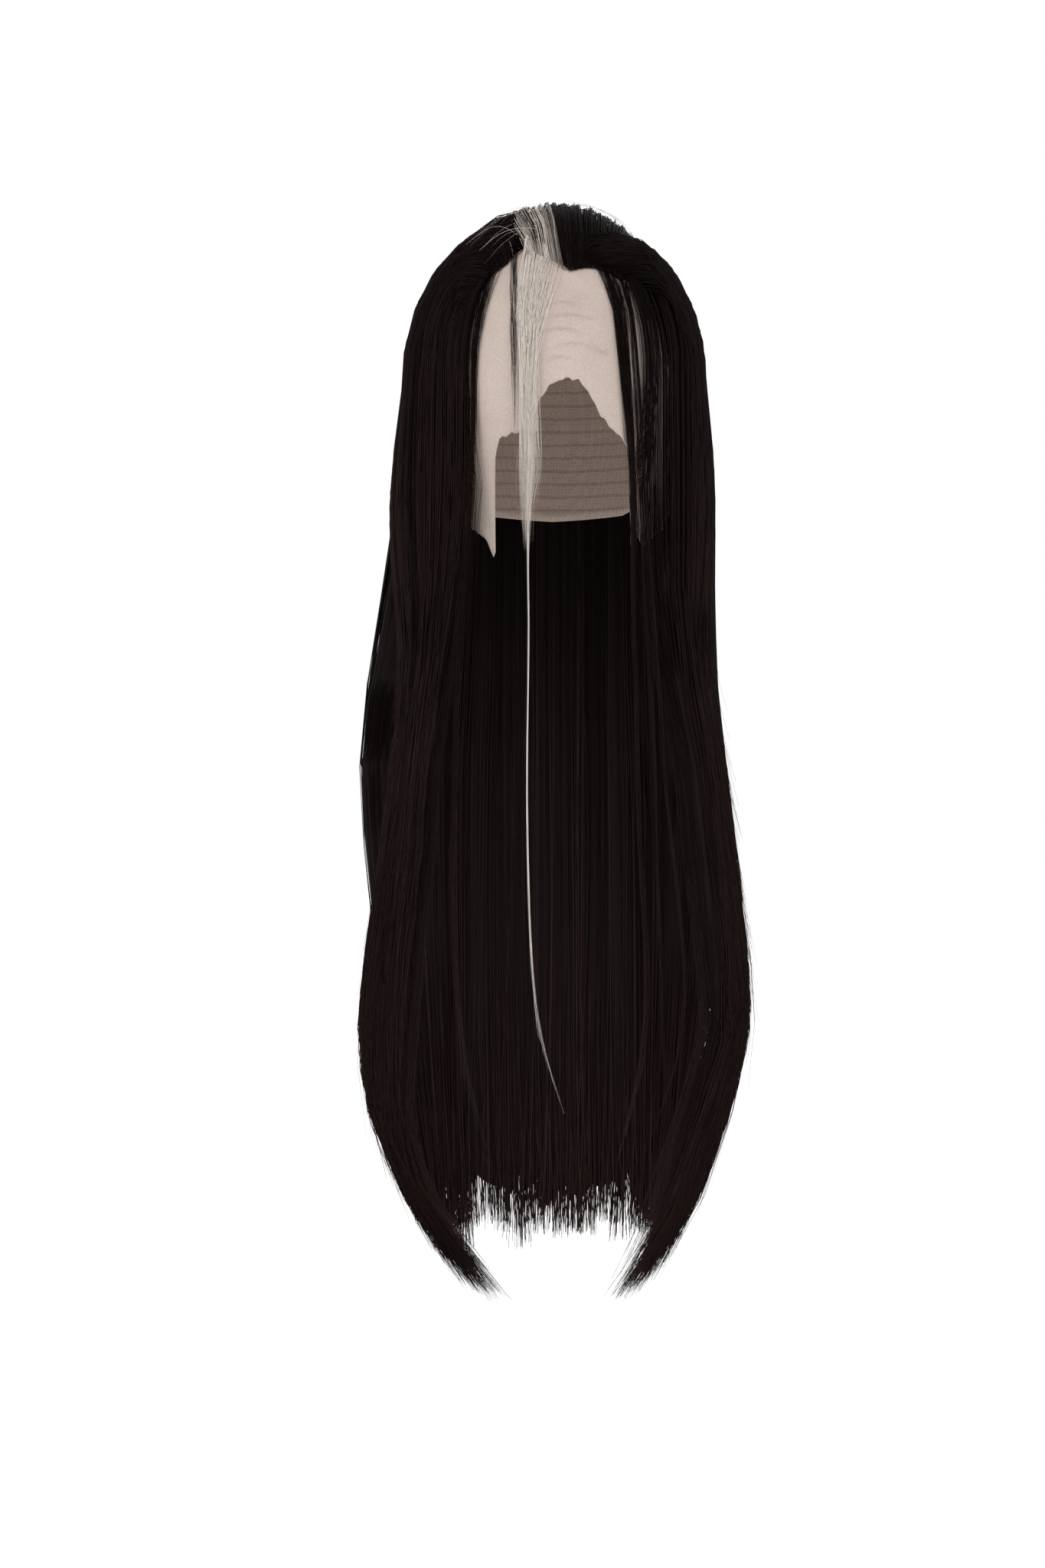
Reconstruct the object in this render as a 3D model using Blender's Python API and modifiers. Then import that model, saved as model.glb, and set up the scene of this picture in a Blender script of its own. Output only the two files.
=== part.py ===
"""A long straight wig on a lace front cap, in the form it keeps when worn.

Metres, +Z up. The face looks along -Y and the viewer's left is -X. The origin is the inner apex of the cap,
where it sits on a head. A turn is an angle about the upright axis: 0 is the front and 90 degrees is +X.
"""
import math

import bmesh
import bpy

# The head that the cap fits
HEAD_WIDTH = 0.152
HEAD_DEPTH = 0.196
CROWN_HEIGHT = 0.092
PLAN_POWER = 2.2
CROWN_POWER = 2.15

# Below the brow the lace and the nape of the cap draw in towards the neck
DRAW_IN_LEVEL = -0.110
DRAW_IN_DROP = 0.090
DRAW_IN_SHARE = 0.14
DRAW_IN_POWER = 1.6
DRAW_IN_LIMIT = 1.2

# Walls, gaps and the length of the hair
CAP_WALL = 0.0015
LACE_WALL = 0.0010
GAP = 0.0003
HAIR_DROP = 0.640
HAIR_CLEAR = CAP_WALL + 0.0009
LOCK_CLEAR = LACE_WALL + 0.0007

# The crown hair is combed back between two side partings and ends on a ring behind the crown
PARTING = math.radians(25)
PARTING_GAP = math.radians(0.28)
CROWN_BACK_RISE = math.radians(32.3)
CROWN_DEPTH = 0.0215
SIDE_DEPTH = 0.0150
BACK_DEPTH = 0.0165
HAIRLINE_DEPTH = 0.0030
HAIRLINE_RISE = math.radians(32)
HAIRLINE_ROUNDING = 0.8
HAIRLINE_STEP = math.radians(0.6)
HAIRLINE_LOCK_ROWS = 3
BACK_FADE = 0.55
LOCK_RIDGE = 0.0018

# Turns where two falls meet, and the turn behind which the falls start on the ring behind the crown
SIDE_BACK_TURN = math.radians(105)
BACK_CENTRE_TURN = math.radians(150)
TURN_GAP = math.radians(0.12)
PARTING_END_TURN = BACK_CENTRE_TURN - 4 * TURN_GAP

# Turn in degrees, level as a share of CROWN_HEIGHT
CAP_RIM = (
    (-180, -1.79), (-150, -1.76), (-128, -1.62), (-112, -1.40), (-95, -1.22), (-75, -1.14), (-58, -1.04),
    (-45, -0.91), (-38, -0.76), (-34.5, -0.52), (-31, -0.30), (-26.5, -0.22), (-21, -0.11), (-8, -0.20),
    (4, -0.30), (9, -0.275), (18, -0.265), (27, -0.29), (36, -0.38), (41, -0.55), (47, -0.82), (58, -1.02),
    (75, -1.14), (95, -1.22), (112, -1.40), (128, -1.62), (150, -1.76), (180, -1.79),
)
# The cap's panels meet at a seam round the crown, by turn in degrees and share of CROWN_HEIGHT as above, and at a
# seam behind each ear
CROWN_SEAM = ((-180, -0.33), (-50, -0.33), (-34.5, -0.49), (36, -0.35), (180, -0.33))
EAR_SEAM_TURN = 105
EAR_PANEL_TURNS = (-34.5, 36)
# Turn in degrees, level as a share of CROWN_HEIGHT: the free edge as it was cut, from ear to ear
LACE_EDGE = (
    (-95, -1.36), (-75, -1.66), (-58, -1.83), (-40, -1.95), (-30, -2.04), (-26, -2.19), (-24, -1.87),
    (-22.5, -1.55), (-20.5, -1.42), (-17, -1.395), (-12, -1.375), (-8, -1.30), (-5.5, -1.17), (-2, -1.08),
    (3, -1.04), (8, -1.05), (11.5, -1.13), (15, -1.26), (20, -1.35), (25, -1.42), (28, -1.50), (30.5, -1.80),
    (33.5, -2.09), (38, -2.03), (42, -2.09), (50, -2.01), (62, -1.95), (75, -1.80), (95, -1.36),
)
# Sweep across the head in degrees, sweep up from the face in degrees
HAIRLINE = (
    (-25, 44), (-22, 47), (-17.5, 50), (-13.5, 57.5), (-11, 60), (3, 40.7), (10, 44.2), (16.5, 45.6),
    (21, 44.5), (25, 43.5),
)
# Sweep up from the face in degrees, then the white streak's left and right edges across the head in degrees
STREAK_EDGES = (
    (40, -9.5, 3.2), (49, -9.8, 1.0), (60, -11.0, -0.2), (68, -13.6, -1.0), (90, -14.2, -2.4),
    (120, -13.0, -3.0), (150, -12.0, -3.4),
)
# Sweep in degrees where the crown hair's roots are shared out between the edges of each part
ROOT_SWEEP = 50

# Columns: level as a share of HAIR_DROP, turns in degrees of the fall's face edge and back edge, then as shares
# of HEAD_WIDTH the stand-off inside the face edge, the stand-off inside the back edge, and the depth of hair
LEFT_FALL = (
    (0.000, 33, 105, 0.016, 0.016, 0.096),
    (0.144, 33, 105, 0.016, 0.016, 0.100),
    (0.203, 33, 102, 0.015, 0.050, 0.106),
    (0.266, 34, 101, 0.008, 0.072, 0.105),
    (0.328, 37, 93, 0.012, 0.060, 0.099),
    (0.391, 41, 80, 0.034, 0.048, 0.092),
    (0.453, 41, 69, 0.096, 0.064, 0.092),
    (0.531, 38, 61, 0.193, 0.138, 0.092),
    (0.625, 36, 57, 0.274, 0.222, 0.092),
    (0.703, 37, 55, 0.335, 0.296, 0.086),
    (0.758, 37, 54, 0.353, 0.327, 0.079),
    (0.817, 38, 51, 0.365, 0.325, 0.066),
    (0.859, 37, 48, 0.353, 0.282, 0.059),
    (0.898, 34, 43, 0.298, 0.232, 0.053),
    (0.938, 28, 37, 0.227, 0.183, 0.046),
    (0.969, 22, 29, 0.168, 0.134, 0.033),
    (1.000, 16, 20, 0.129, 0.108, 0.013),
)
RIGHT_FALL = (
    (0.000, 33, 105, 0.016, 0.016, 0.096),
    (0.144, 33, 105, 0.016, 0.016, 0.100),
    (0.203, 33, 102, 0.015, 0.040, 0.106),
    (0.266, 34, 101, 0.008, 0.054, 0.105),
    (0.328, 36, 93, 0.010, 0.052, 0.099),
    (0.391, 40, 82, 0.020, 0.066, 0.092),
    (0.453, 41, 71, 0.104, 0.088, 0.092),
    (0.531, 39, 62, 0.206, 0.160, 0.092),
    (0.625, 37, 57, 0.298, 0.234, 0.092),
    (0.703, 38, 55, 0.359, 0.296, 0.086),
    (0.742, 38, 54, 0.373, 0.309, 0.079),
    (0.781, 36, 52, 0.341, 0.304, 0.072),
    (0.820, 34, 49, 0.306, 0.280, 0.066),
    (0.859, 31, 46, 0.265, 0.243, 0.059),
    (0.898, 29, 42, 0.236, 0.206, 0.053),
    (0.938, 26, 36, 0.200, 0.159, 0.046),
    (0.969, 22, 29, 0.165, 0.128, 0.033),
    (0.992, 17, 21, 0.134, 0.111, 0.013),
)
# Columns: level as a share of HAIR_DROP, turns in degrees of the back hair's left and right edges, then as shares
# of HEAD_WIDTH the stand-off inside each edge and inside the middle of the back, and the depth of hair
BACK_HAIR = (
    (0.000, 105, 105, 0.016, 0.016, 0.016, 0.098),
    (0.144, 105, 105, 0.016, 0.016, 0.016, 0.105),
    (0.203, 106, 106, 0.050, 0.045, 0.022, 0.100),
    (0.266, 107, 107, 0.108, 0.084, 0.024, 0.095),
    (0.327, 110, 110, 0.165, 0.107, 0.024, 0.090),
    (0.391, 116, 117, 0.245, 0.150, 0.020, 0.085),
    (0.453, 123, 125, 0.360, 0.205, 0.014, 0.080),
    (0.531, 126, 129, 0.410, 0.295, 0.006, 0.075),
    (0.703, 130, 132, 0.375, 0.300, 0.000, 0.065),
    (0.875, 135, 137, 0.290, 0.240, -0.010, 0.050),
    (1.000, 140, 142, 0.200, 0.170, -0.020, 0.020),
)

# Locks that hang free of the falls. Columns: level as a share of HAIR_DROP, centre and width as shares of
# HEAD_WIDTH, reach in front of the axis as a share of HEAD_DEPTH, depth as a share of HEAD_WIDTH
FRONT_STREAK_LOCK = (
    (0.030, -0.043, 0.146, 0.290, 0.012),
    (0.079, -0.079, 0.141, 0.430, 0.016),
    (0.117, -0.094, 0.086, 0.490, 0.018),
    (0.178, -0.099, 0.072, 0.513, 0.020),
    (0.237, -0.097, 0.068, 0.515, 0.020),
    (0.267, -0.107, 0.041, 0.518, 0.017),
    (0.297, -0.109, 0.022, 0.520, 0.016),
    (0.380, -0.105, 0.020, 0.531, 0.014),
    (0.523, -0.113, 0.017, 0.561, 0.013),
    (0.631, -0.105, 0.017, 0.597, 0.013),
    (0.702, -0.090, 0.016, 0.612, 0.012),
    (0.759, -0.061, 0.014, 0.617, 0.011),
    (0.825, 0.031, 0.007, 0.617, 0.005),
)
BROW_LOCK = (
    (0.032, -0.176, 0.022, 0.270, 0.009),
    (0.078, -0.174, 0.030, 0.400, 0.011),
    (0.117, -0.171, 0.028, 0.470, 0.011),
    (0.156, -0.167, 0.024, 0.499, 0.010),
    (0.203, -0.161, 0.007, 0.503, 0.005),
)
TEMPLE_LOCK_LEFT = (
    (0.078, -0.293, 0.020, 0.340, 0.011),
    (0.117, -0.314, 0.019, 0.390, 0.012),
    (0.144, -0.319, 0.017, 0.410, 0.013),
    (0.203, -0.321, 0.016, 0.431, 0.013),
    (0.266, -0.336, 0.016, 0.439, 0.013),
    (0.328, -0.355, 0.016, 0.439, 0.013),
    (0.408, -0.395, 0.016, 0.439, 0.013),
    (0.459, -0.387, 0.016, 0.456, 0.013),
    (0.528, -0.389, 0.016, 0.505, 0.013),
    (0.595, -0.401, 0.016, 0.571, 0.013),
    (0.661, -0.393, 0.016, 0.597, 0.013),
    (0.728, -0.375, 0.014, 0.607, 0.013),
    (0.795, -0.343, 0.014, 0.612, 0.012),
    (0.859, -0.263, 0.007, 0.612, 0.005),
)
TEMPLE_LOCK_RIGHT_1 = (
    (0.072, 0.247, 0.053, 0.360, 0.011),
    (0.117, 0.263, 0.050, 0.400, 0.012),
    (0.152, 0.275, 0.044, 0.430, 0.013),
    (0.188, 0.289, 0.033, 0.441, 0.013),
    (0.237, 0.300, 0.024, 0.446, 0.013),
    (0.294, 0.303, 0.020, 0.449, 0.013),
    (0.386, 0.305, 0.017, 0.454, 0.013),
    (0.436, 0.314, 0.016, 0.464, 0.013),
    (0.506, 0.317, 0.016, 0.494, 0.013),
    (0.611, 0.329, 0.016, 0.577, 0.013),
    (0.695, 0.350, 0.016, 0.602, 0.013),
    (0.762, 0.339, 0.014, 0.610, 0.012),
    (0.820, 0.289, 0.012, 0.612, 0.009),
    (0.870, 0.230, 0.007, 0.612, 0.005),
)
TEMPLE_LOCK_RIGHT_2 = (
    (0.078, 0.286, 0.012, 0.340, 0.011),
    (0.117, 0.300, 0.012, 0.380, 0.012),
    (0.152, 0.310, 0.012, 0.410, 0.013),
    (0.188, 0.317, 0.013, 0.431, 0.013),
    (0.234, 0.327, 0.014, 0.439, 0.013),
    (0.294, 0.337, 0.014, 0.440, 0.013),
    (0.391, 0.357, 0.014, 0.446, 0.013),
    (0.438, 0.370, 0.014, 0.460, 0.013),
    (0.516, 0.384, 0.014, 0.500, 0.013),
    (0.584, 0.388, 0.014, 0.551, 0.013),
    (0.667, 0.399, 0.014, 0.585, 0.013),
    (0.744, 0.406, 0.013, 0.592, 0.012),
    (0.822, 0.425, 0.007, 0.592, 0.005),
)
TEMPLE_LOCK_RIGHT_3 = (
    (0.087, 0.303, 0.012, 0.340, 0.011),
    (0.117, 0.316, 0.012, 0.370, 0.012),
    (0.152, 0.328, 0.012, 0.400, 0.013),
    (0.188, 0.335, 0.013, 0.431, 0.013),
    (0.234, 0.345, 0.014, 0.439, 0.013),
    (0.294, 0.358, 0.014, 0.440, 0.013),
    (0.391, 0.388, 0.016, 0.445, 0.013),
    (0.442, 0.407, 0.016, 0.460, 0.013),
    (0.528, 0.425, 0.016, 0.506, 0.013),
    (0.580, 0.447, 0.016, 0.556, 0.013),
    (0.630, 0.470, 0.016, 0.590, 0.013),
    (0.695, 0.497, 0.016, 0.613, 0.013),
    (0.762, 0.477, 0.014, 0.622, 0.012),
    (0.812, 0.421, 0.012, 0.622, 0.009),
    (0.856, 0.347, 0.007, 0.622, 0.005),
)

# How finely each piece is divided
CAP_TURN_STEP = 10
CAP_ROWS = 6
LACE_ROWS = 7
SWEEP_ROWS = 10
HEAD_ROWS = 6
HANGING_ROWS = 14
LOCK_ROWS = 20
LOCK_ROW_POWER = 1.6

# A fall is thinner along its face edge. Its locks flatten towards their ends, which are pointed and staggered.
FACE_EDGE_FULLNESS = 0.3
FACE_EDGE_SHARE = 0.2
RIDGE_FADE_SHARE = 0.5
FALL_NOTCH = 0.035
FALL_STAGGER = 0.030
FALL_STAGGER_TURN = 2.4
THINNEST_HAIR = 0.0015

# A hanging lock is thinner along its sides. The white lock's root follows the slanted hairline.
LOCK_SIDE_FULLNESS = 0.25
ROOT_SHARE = 0.25
STREAK_ROOT_SLANT = 0.0088

# Colour, roughness
DARK_HAIR = ((0.016, 0.011, 0.011), 0.38)
WHITE_HAIR = ((0.50, 0.46, 0.44), 0.42)
LACE_NET = ((0.56, 0.47, 0.43), 0.80)
CAP_NET = ((0.42, 0.32, 0.27), 0.80)


def smooth_row(table, at):
    """The table's columns at one value of its first column, on a smooth curve through its rows."""
    at = min(max(at, table[0][0]), table[-1][0])
    low = max(i for i in range(len(table) - 1) if table[i][0] <= at)
    span = table[low + 1][0] - table[low][0]
    part = (at - table[low][0]) / span

    def slope(i, column):
        before = table[max(i - 1, 0)]
        after = table[min(i + 1, len(table) - 1)]
        return (after[column] - before[column]) / (after[0] - before[0])

    values = []
    for column in range(1, len(table[0])):
        start = table[low][column]
        end = table[low + 1][column]
        lift = (2 * part ** 3 - 3 * part ** 2 + 1) * start + (3 * part ** 2 - 2 * part ** 3) * end
        lean_start = (part ** 3 - 2 * part ** 2 + part) * span * slope(low, column)
        lean_end = (part ** 3 - part ** 2) * span * slope(low + 1, column)
        values.append(lift + lean_start + lean_end)
    return values


def straight_row(table, at):
    """The table's columns at one value of its first column, on straight lines between its rows."""
    at = min(max(at, table[0][0]), table[-1][0])
    low = max(i for i in range(len(table) - 1) if table[i][0] <= at)
    part = (at - table[low][0]) / (table[low + 1][0] - table[low][0])
    return [table[low][c] + part * (table[low + 1][c] - table[low][c]) for c in range(1, len(table[0]))]


def plan_radius(turn, stand_off):
    """Distance from the upright axis to the widest ring of the head form."""
    side = abs(math.sin(turn)) / (HEAD_WIDTH / 2 + stand_off)
    front = abs(math.cos(turn)) / (HEAD_DEPTH / 2 + stand_off)
    return (side ** PLAN_POWER + front ** PLAN_POWER) ** (-1 / PLAN_POWER)


def ring_share(level, stand_off):
    """Size of the head form's ring at a level, as a share of its widest ring."""
    height = (level + CROWN_HEIGHT) / (CROWN_HEIGHT + stand_off)
    if height > 0:
        return max(1 - min(height, 1) ** CROWN_POWER, 0) ** (1 / CROWN_POWER)
    drop = min(max(DRAW_IN_LEVEL - level, 0) / DRAW_IN_DROP, DRAW_IN_LIMIT)
    return 1 - DRAW_IN_SHARE * drop ** DRAW_IN_POWER


def wall_point(turn, level, stand_off):
    """A point of the head form by turn and level."""
    radius = plan_radius(turn, stand_off) * ring_share(level, stand_off)
    return (radius * math.sin(turn), -radius * math.cos(turn), level)


def hanging_point(turn, level, stand_off):
    """A point that hangs straight below the widest ring, at a distance from it."""
    radius = plan_radius(turn, 0) + stand_off
    return (radius * math.sin(turn), -radius * math.cos(turn), level)


def dome_point(direction, stand_off):
    """Where a ray from the middle of the widest ring leaves the head form."""
    x, y, z = direction
    side = abs(x) / (HEAD_WIDTH / 2 + stand_off)
    front = abs(y) / (HEAD_DEPTH / 2 + stand_off)
    rise = abs(z) / (CROWN_HEIGHT + stand_off)
    plan = (side ** PLAN_POWER + front ** PLAN_POWER) ** (CROWN_POWER / PLAN_POWER)
    reach = (plan + rise ** CROWN_POWER) ** (-1 / CROWN_POWER)
    return (x * reach, y * reach, z * reach - CROWN_HEIGHT)


def turned_direction(turn, rise):
    """A direction by turn about the upright axis and rise above the widest ring."""
    flat = math.cos(rise)
    return (flat * math.sin(turn), -flat * math.cos(turn), math.sin(rise))


def swept_direction(across, sweep):
    """A direction by angle across the head and sweep from the face, up over the crown and back."""
    return (math.sin(across), -math.cos(across) * math.cos(sweep), math.cos(across) * math.sin(sweep))


def front_reach(x, level, stand_off):
    """How far the head form reaches in front of the axis at a place on the face."""
    side = abs(x) / (HEAD_WIDTH / 2 + stand_off)
    flat = max(ring_share(level, stand_off) ** PLAN_POWER - side ** PLAN_POWER, 0)
    return (HEAD_DEPTH / 2 + stand_off) * flat ** (1 / PLAN_POWER)


def material(name, look):
    """A plain surface of one colour and roughness."""
    made = bpy.data.materials.get(name) or bpy.data.materials.new(name)
    made.use_nodes = True
    surface = made.node_tree.nodes["Principled BSDF"]
    surface.inputs["Base Color"].default_value = (*look[0], 1)
    surface.inputs["Roughness"].default_value = look[1]
    surface.inputs["Metallic"].default_value = 0
    return made


def add_piece(name, mesh, look_name, look):
    """Put a finished mesh in the wig's collection as one named piece."""
    piece = bpy.data.objects.new(name, mesh)
    wig.objects.link(piece)
    mesh.materials.append(material(look_name, look))
    mesh.shade_smooth()
    return piece


def shell(name, turns, rows, level_at, wall, look_name, look):
    """A net sheet on the head form, thickened outwards. Its grid runs up from the lower edge."""
    bm = bmesh.new()
    bmesh.ops.create_grid(bm, x_segments=len(turns) - 1, y_segments=rows, size=1)
    for corner in bm.verts:
        column = round((corner.co.x + 1) / 2 * (len(turns) - 1))
        share = (corner.co.y + 1) / 2
        turn = math.radians(turns[column])
        corner.co = wall_point(turn, level_at(turns[column], share), 0)
    bmesh.ops.remove_doubles(bm, verts=bm.verts, dist=0.00001)
    mesh = bpy.data.meshes.new(name)
    bm.to_mesh(mesh)
    bm.free()
    piece = add_piece(name, mesh, look_name, look)
    thicken = piece.modifiers.new("wall", "SOLIDIFY")
    thicken.thickness = wall
    thicken.offset = 1
    thicken.use_even_offset = True
    return piece


def loft(name, sections, look_name, look):
    """A closed body through unlike sections. Each section is its outer points and its inner points."""
    bm = bmesh.new()
    rings = []
    for outer, inner in sections:
        rings.append([bm.verts.new(point) for point in list(outer) + list(reversed(inner))])
    count = len(rings[0])
    for upper, lower in zip(rings, rings[1:]):
        for i in range(count):
            j = (i + 1) % count
            bm.faces.new((upper[i], upper[j], lower[j], lower[i]))
    for ring in (rings[0], rings[-1]):
        for i in range(count // 2 - 1):
            bm.faces.new((ring[i], ring[i + 1], ring[count - 2 - i], ring[count - 1 - i]))
    bmesh.ops.recalc_face_normals(bm, faces=bm.faces)
    mesh = bpy.data.meshes.new(name)
    bm.to_mesh(mesh)
    bm.free()
    return add_piece(name, mesh, look_name, look)


def edge_level(table, turn_degrees):
    """Level of an edge whose table goes once round the head."""
    return CROWN_HEIGHT * straight_row(table, (turn_degrees + 180) % 360 - 180)[0]


def edge_gap(table, turn_degrees):
    """How far down from an edge the next piece starts, so that the gap across a steep edge stays the same."""
    turns = [row[0] for row in table]
    steepest = 0
    for low, high in zip(turns, turns[1:]):
        if low <= turn_degrees <= high:
            run = math.radians(high - low) * HEAD_DEPTH / 2
            steepest = max(steepest, abs(edge_level(table, high) - edge_level(table, low)) / run)
    return 2 * GAP * math.hypot(1, steepest)


def rim_level(turn_degrees):
    """Level of the cap's rim: the hairline at the front and the nape at the back."""
    return edge_level(CAP_RIM, turn_degrees)


def panel_turns(first, last):
    """The turns of a panel's columns: its ends, the rim's corners between them, and no step wider than one."""
    corners = {turn + lap for turn, level in CAP_RIM + CROWN_SEAM for lap in (0, 360)}
    turns = sorted({first, last} | {turn for turn in corners if first < turn < last})
    filled = []
    for low, high in zip(turns, turns[1:]):
        steps = math.ceil((high - low) / CAP_TURN_STEP)
        filled += [low + (high - low) * i / steps for i in range(steps)]
    return filled + [last]


def make_crown_panel():
    """The top of the cap, from the hairline and the crown seam up to the apex."""

    def level_at(turn_degrees, share):
        low = max(rim_level(turn_degrees), edge_level(CROWN_SEAM, turn_degrees))
        return low * (1 - math.cos((1 - share) * math.pi / 2))

    turns = panel_turns(-180, 180)
    return shell("cap_crown", turns, CAP_ROWS, level_at, CAP_WALL, "cap_net", CAP_NET)


def make_side_panel(name, first, last):
    """A panel of the cap between two turns, from the rim up to the crown seam."""

    def level_at(turn_degrees, share):
        low = rim_level(turn_degrees)
        high = edge_level(CROWN_SEAM, turn_degrees) - edge_gap(CROWN_SEAM, turn_degrees)
        return low + share * (high - low)

    return shell(name, panel_turns(first, last), CAP_ROWS, level_at, CAP_WALL, "cap_net", CAP_NET)


def make_cap():
    """The cap's four panels, sewn edge to edge."""
    seam = math.degrees(GAP / (HEAD_DEPTH / 2))
    make_crown_panel()
    make_side_panel("cap_ear_left", seam - EAR_SEAM_TURN, EAR_PANEL_TURNS[0])
    make_side_panel("cap_ear_right", EAR_PANEL_TURNS[1], EAR_SEAM_TURN - seam)
    make_side_panel("cap_nape", EAR_SEAM_TURN + seam, 360 - EAR_SEAM_TURN - seam)


def make_lace():
    """The lace sheet, from its free edge up to the cap's rim."""
    reach = LACE_EDGE[-1][0]
    turns = sorted({row[0] for row in LACE_EDGE} | {row[0] for row in CAP_RIM if abs(row[0]) <= reach})

    def level_at(turn_degrees, share):
        low = CROWN_HEIGHT * straight_row(LACE_EDGE, turn_degrees)[0]
        high = rim_level(turn_degrees) - edge_gap(CAP_RIM, turn_degrees)
        return low + share * (high - low)

    return shell("lace_front", turns, LACE_ROWS, level_at, LACE_WALL, "lace_net", LACE_NET)


def crown_depth(across, sweep, start):
    """Depth of the combed hair: thin at the hairline, full on top, less towards the partings and the back."""
    rise = min(max((sweep - start) / HAIRLINE_RISE, 0), 1)
    rise = math.sin(rise * math.pi / 2) ** HAIRLINE_ROUNDING
    back = max(sweep / (math.pi / 2) - 1, 0)
    top = CROWN_DEPTH + min(back / BACK_FADE, 1) * (BACK_DEPTH - CROWN_DEPTH)
    full = top + (across / PARTING) ** 2 * (SIDE_DEPTH - top)
    return HAIRLINE_DEPTH + (full - HAIRLINE_DEPTH) * rise


def crown_sweep(name, left_edge, right_edge, locks, look_name, look):
    """Hair combed back over the crown between two edges, which are angles across the head by sweep."""
    sections = []
    columns = 2 * locks + 1
    for row in range(SWEEP_ROWS + 1):
        outer = []
        inner = []
        for column in range(columns):
            share = column / (columns - 1)
            across = left_edge(ROOT_SWEEP) + share * (right_edge(ROOT_SWEEP) - left_edge(ROOT_SWEEP))
            start = math.radians(straight_row(HAIRLINE, math.degrees(across))[0]) + HAIRLINE_STEP
            end = math.pi - math.asin(math.sin(CROWN_BACK_RISE) / math.cos(across))
            sweep = start + (end - start) * row / SWEEP_ROWS
            degrees = math.degrees(sweep)
            across = left_edge(degrees) + share * (right_edge(degrees) - left_edge(degrees))
            depth = crown_depth(across, sweep, start)
            if column % 2 == 1:
                depth += LOCK_RIDGE * min(row / HAIRLINE_LOCK_ROWS, 1)
            direction = swept_direction(across, sweep)
            outer.append(dome_point(direction, HAIR_CLEAR + depth))
            inner.append(dome_point(direction, HAIR_CLEAR))
        sections.append((outer, inner))
    return loft(name, sections, look_name, look)


def fall_start(turn):
    """Rise where a fall starts: on the side parting, or on the ring behind the crown."""
    if abs(turn) > PARTING_END_TURN:
        return CROWN_BACK_RISE - 2 * PARTING_GAP
    return math.acos(min(math.sin(PARTING + PARTING_GAP) / abs(math.sin(turn)), 1))


def tip_level(column, columns):
    """Level of one column's lower end: long on a lock's crest, shorter between locks."""
    notch = 0 if column % 2 == 1 else FALL_NOTCH
    stagger = FALL_STAGGER * (1 + math.cos(FALL_STAGGER_TURN * column)) / 2
    return -HAIR_DROP * (1 - notch - stagger)


def fall(name, locks, section_at, look_name, look):
    """Hair that starts on the head form and hangs. section_at gives, by level and by share across the fall,
    the turn, the stand-off inside the hair and its depth."""
    columns = 2 * locks + 1
    sections = []
    for row in range(HEAD_ROWS + HANGING_ROWS + 1):
        outer = []
        inner = []
        for column in range(columns):
            share = column / (columns - 1)
            ridge = LOCK_RIDGE if column % 2 == 1 else 0
            if row <= HEAD_ROWS:
                turn, stand_off, depth = section_at(-CROWN_HEIGHT, share)
                rise = fall_start(turn) * (1 - row / HEAD_ROWS)
                direction = turned_direction(turn, rise)
                outer.append(dome_point(direction, stand_off + depth + ridge))
                inner.append(dome_point(direction, stand_off))
            else:
                drop = (row - HEAD_ROWS) / HANGING_ROWS
                level = -CROWN_HEIGHT + drop * (tip_level(column, columns) + CROWN_HEIGHT)
                turn, stand_off, depth = section_at(level, share)
                depth = max(depth, THINNEST_HAIR)
                ridge *= min(1, (1 - drop) / RIDGE_FADE_SHARE)
                outer.append(hanging_point(turn, level, stand_off + depth + ridge))
                inner.append(hanging_point(turn, level, stand_off))
        sections.append((outer, inner))
    return loft(name, sections, look_name, look)


def side_fall(name, side, table, locks):
    """A fall in front of the shoulder. side is -1 for the viewer's left and 1 for the right."""

    def section_at(level, share):
        face, back, face_off, back_off, depth = smooth_row(table, -level / HAIR_DROP)
        turn = math.radians(face + share * (back - face))
        turn = side * min(turn, SIDE_BACK_TURN - TURN_GAP)
        stand_off = HEAD_WIDTH * (face_off + share * (back_off - face_off))
        fullness = min(1, FACE_EDGE_FULLNESS + (1 - FACE_EDGE_FULLNESS) * share / FACE_EDGE_SHARE)
        return turn, stand_off, HEAD_WIDTH * depth * fullness

    return fall(name, locks, section_at, "dark_hair", DARK_HAIR)


def back_section(level, turn):
    """Stand-off and depth of the back hair at one level and turn, where a turn of pi is the middle."""
    left, right, left_off, right_off, middle_off, depth = smooth_row(BACK_HAIR, -level / HAIR_DROP)
    edge, edge_off = (left, left_off) if turn < 0 else (right, right_off)
    share = (math.pi - abs(turn)) / (math.pi - math.radians(edge))
    return HEAD_WIDTH * (middle_off + (edge_off - middle_off) * share ** 2), HEAD_WIDTH * depth


def back_side_fall(name, side, locks):
    """The back hair between a side fall and the middle of the back."""

    def section_at(level, share):
        edges = smooth_row(BACK_HAIR, -level / HAIR_DROP)
        edge = math.radians(edges[0] if side < 0 else edges[1]) + TURN_GAP
        turn = side * (edge + share * (BACK_CENTRE_TURN - TURN_GAP - edge))
        stand_off, depth = back_section(level, turn)
        return turn, stand_off, depth

    return fall(name, locks, section_at, "dark_hair", DARK_HAIR)


def back_centre_fall(name, locks):
    """The back hair across the middle of the back."""

    def section_at(level, share):
        start = BACK_CENTRE_TURN + TURN_GAP
        turn = start + share * 2 * (math.pi - start)
        if turn > math.pi:
            turn -= 2 * math.pi
        stand_off, depth = back_section(level, turn)
        return turn, stand_off, depth

    return fall(name, locks, section_at, "dark_hair", DARK_HAIR)


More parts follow.
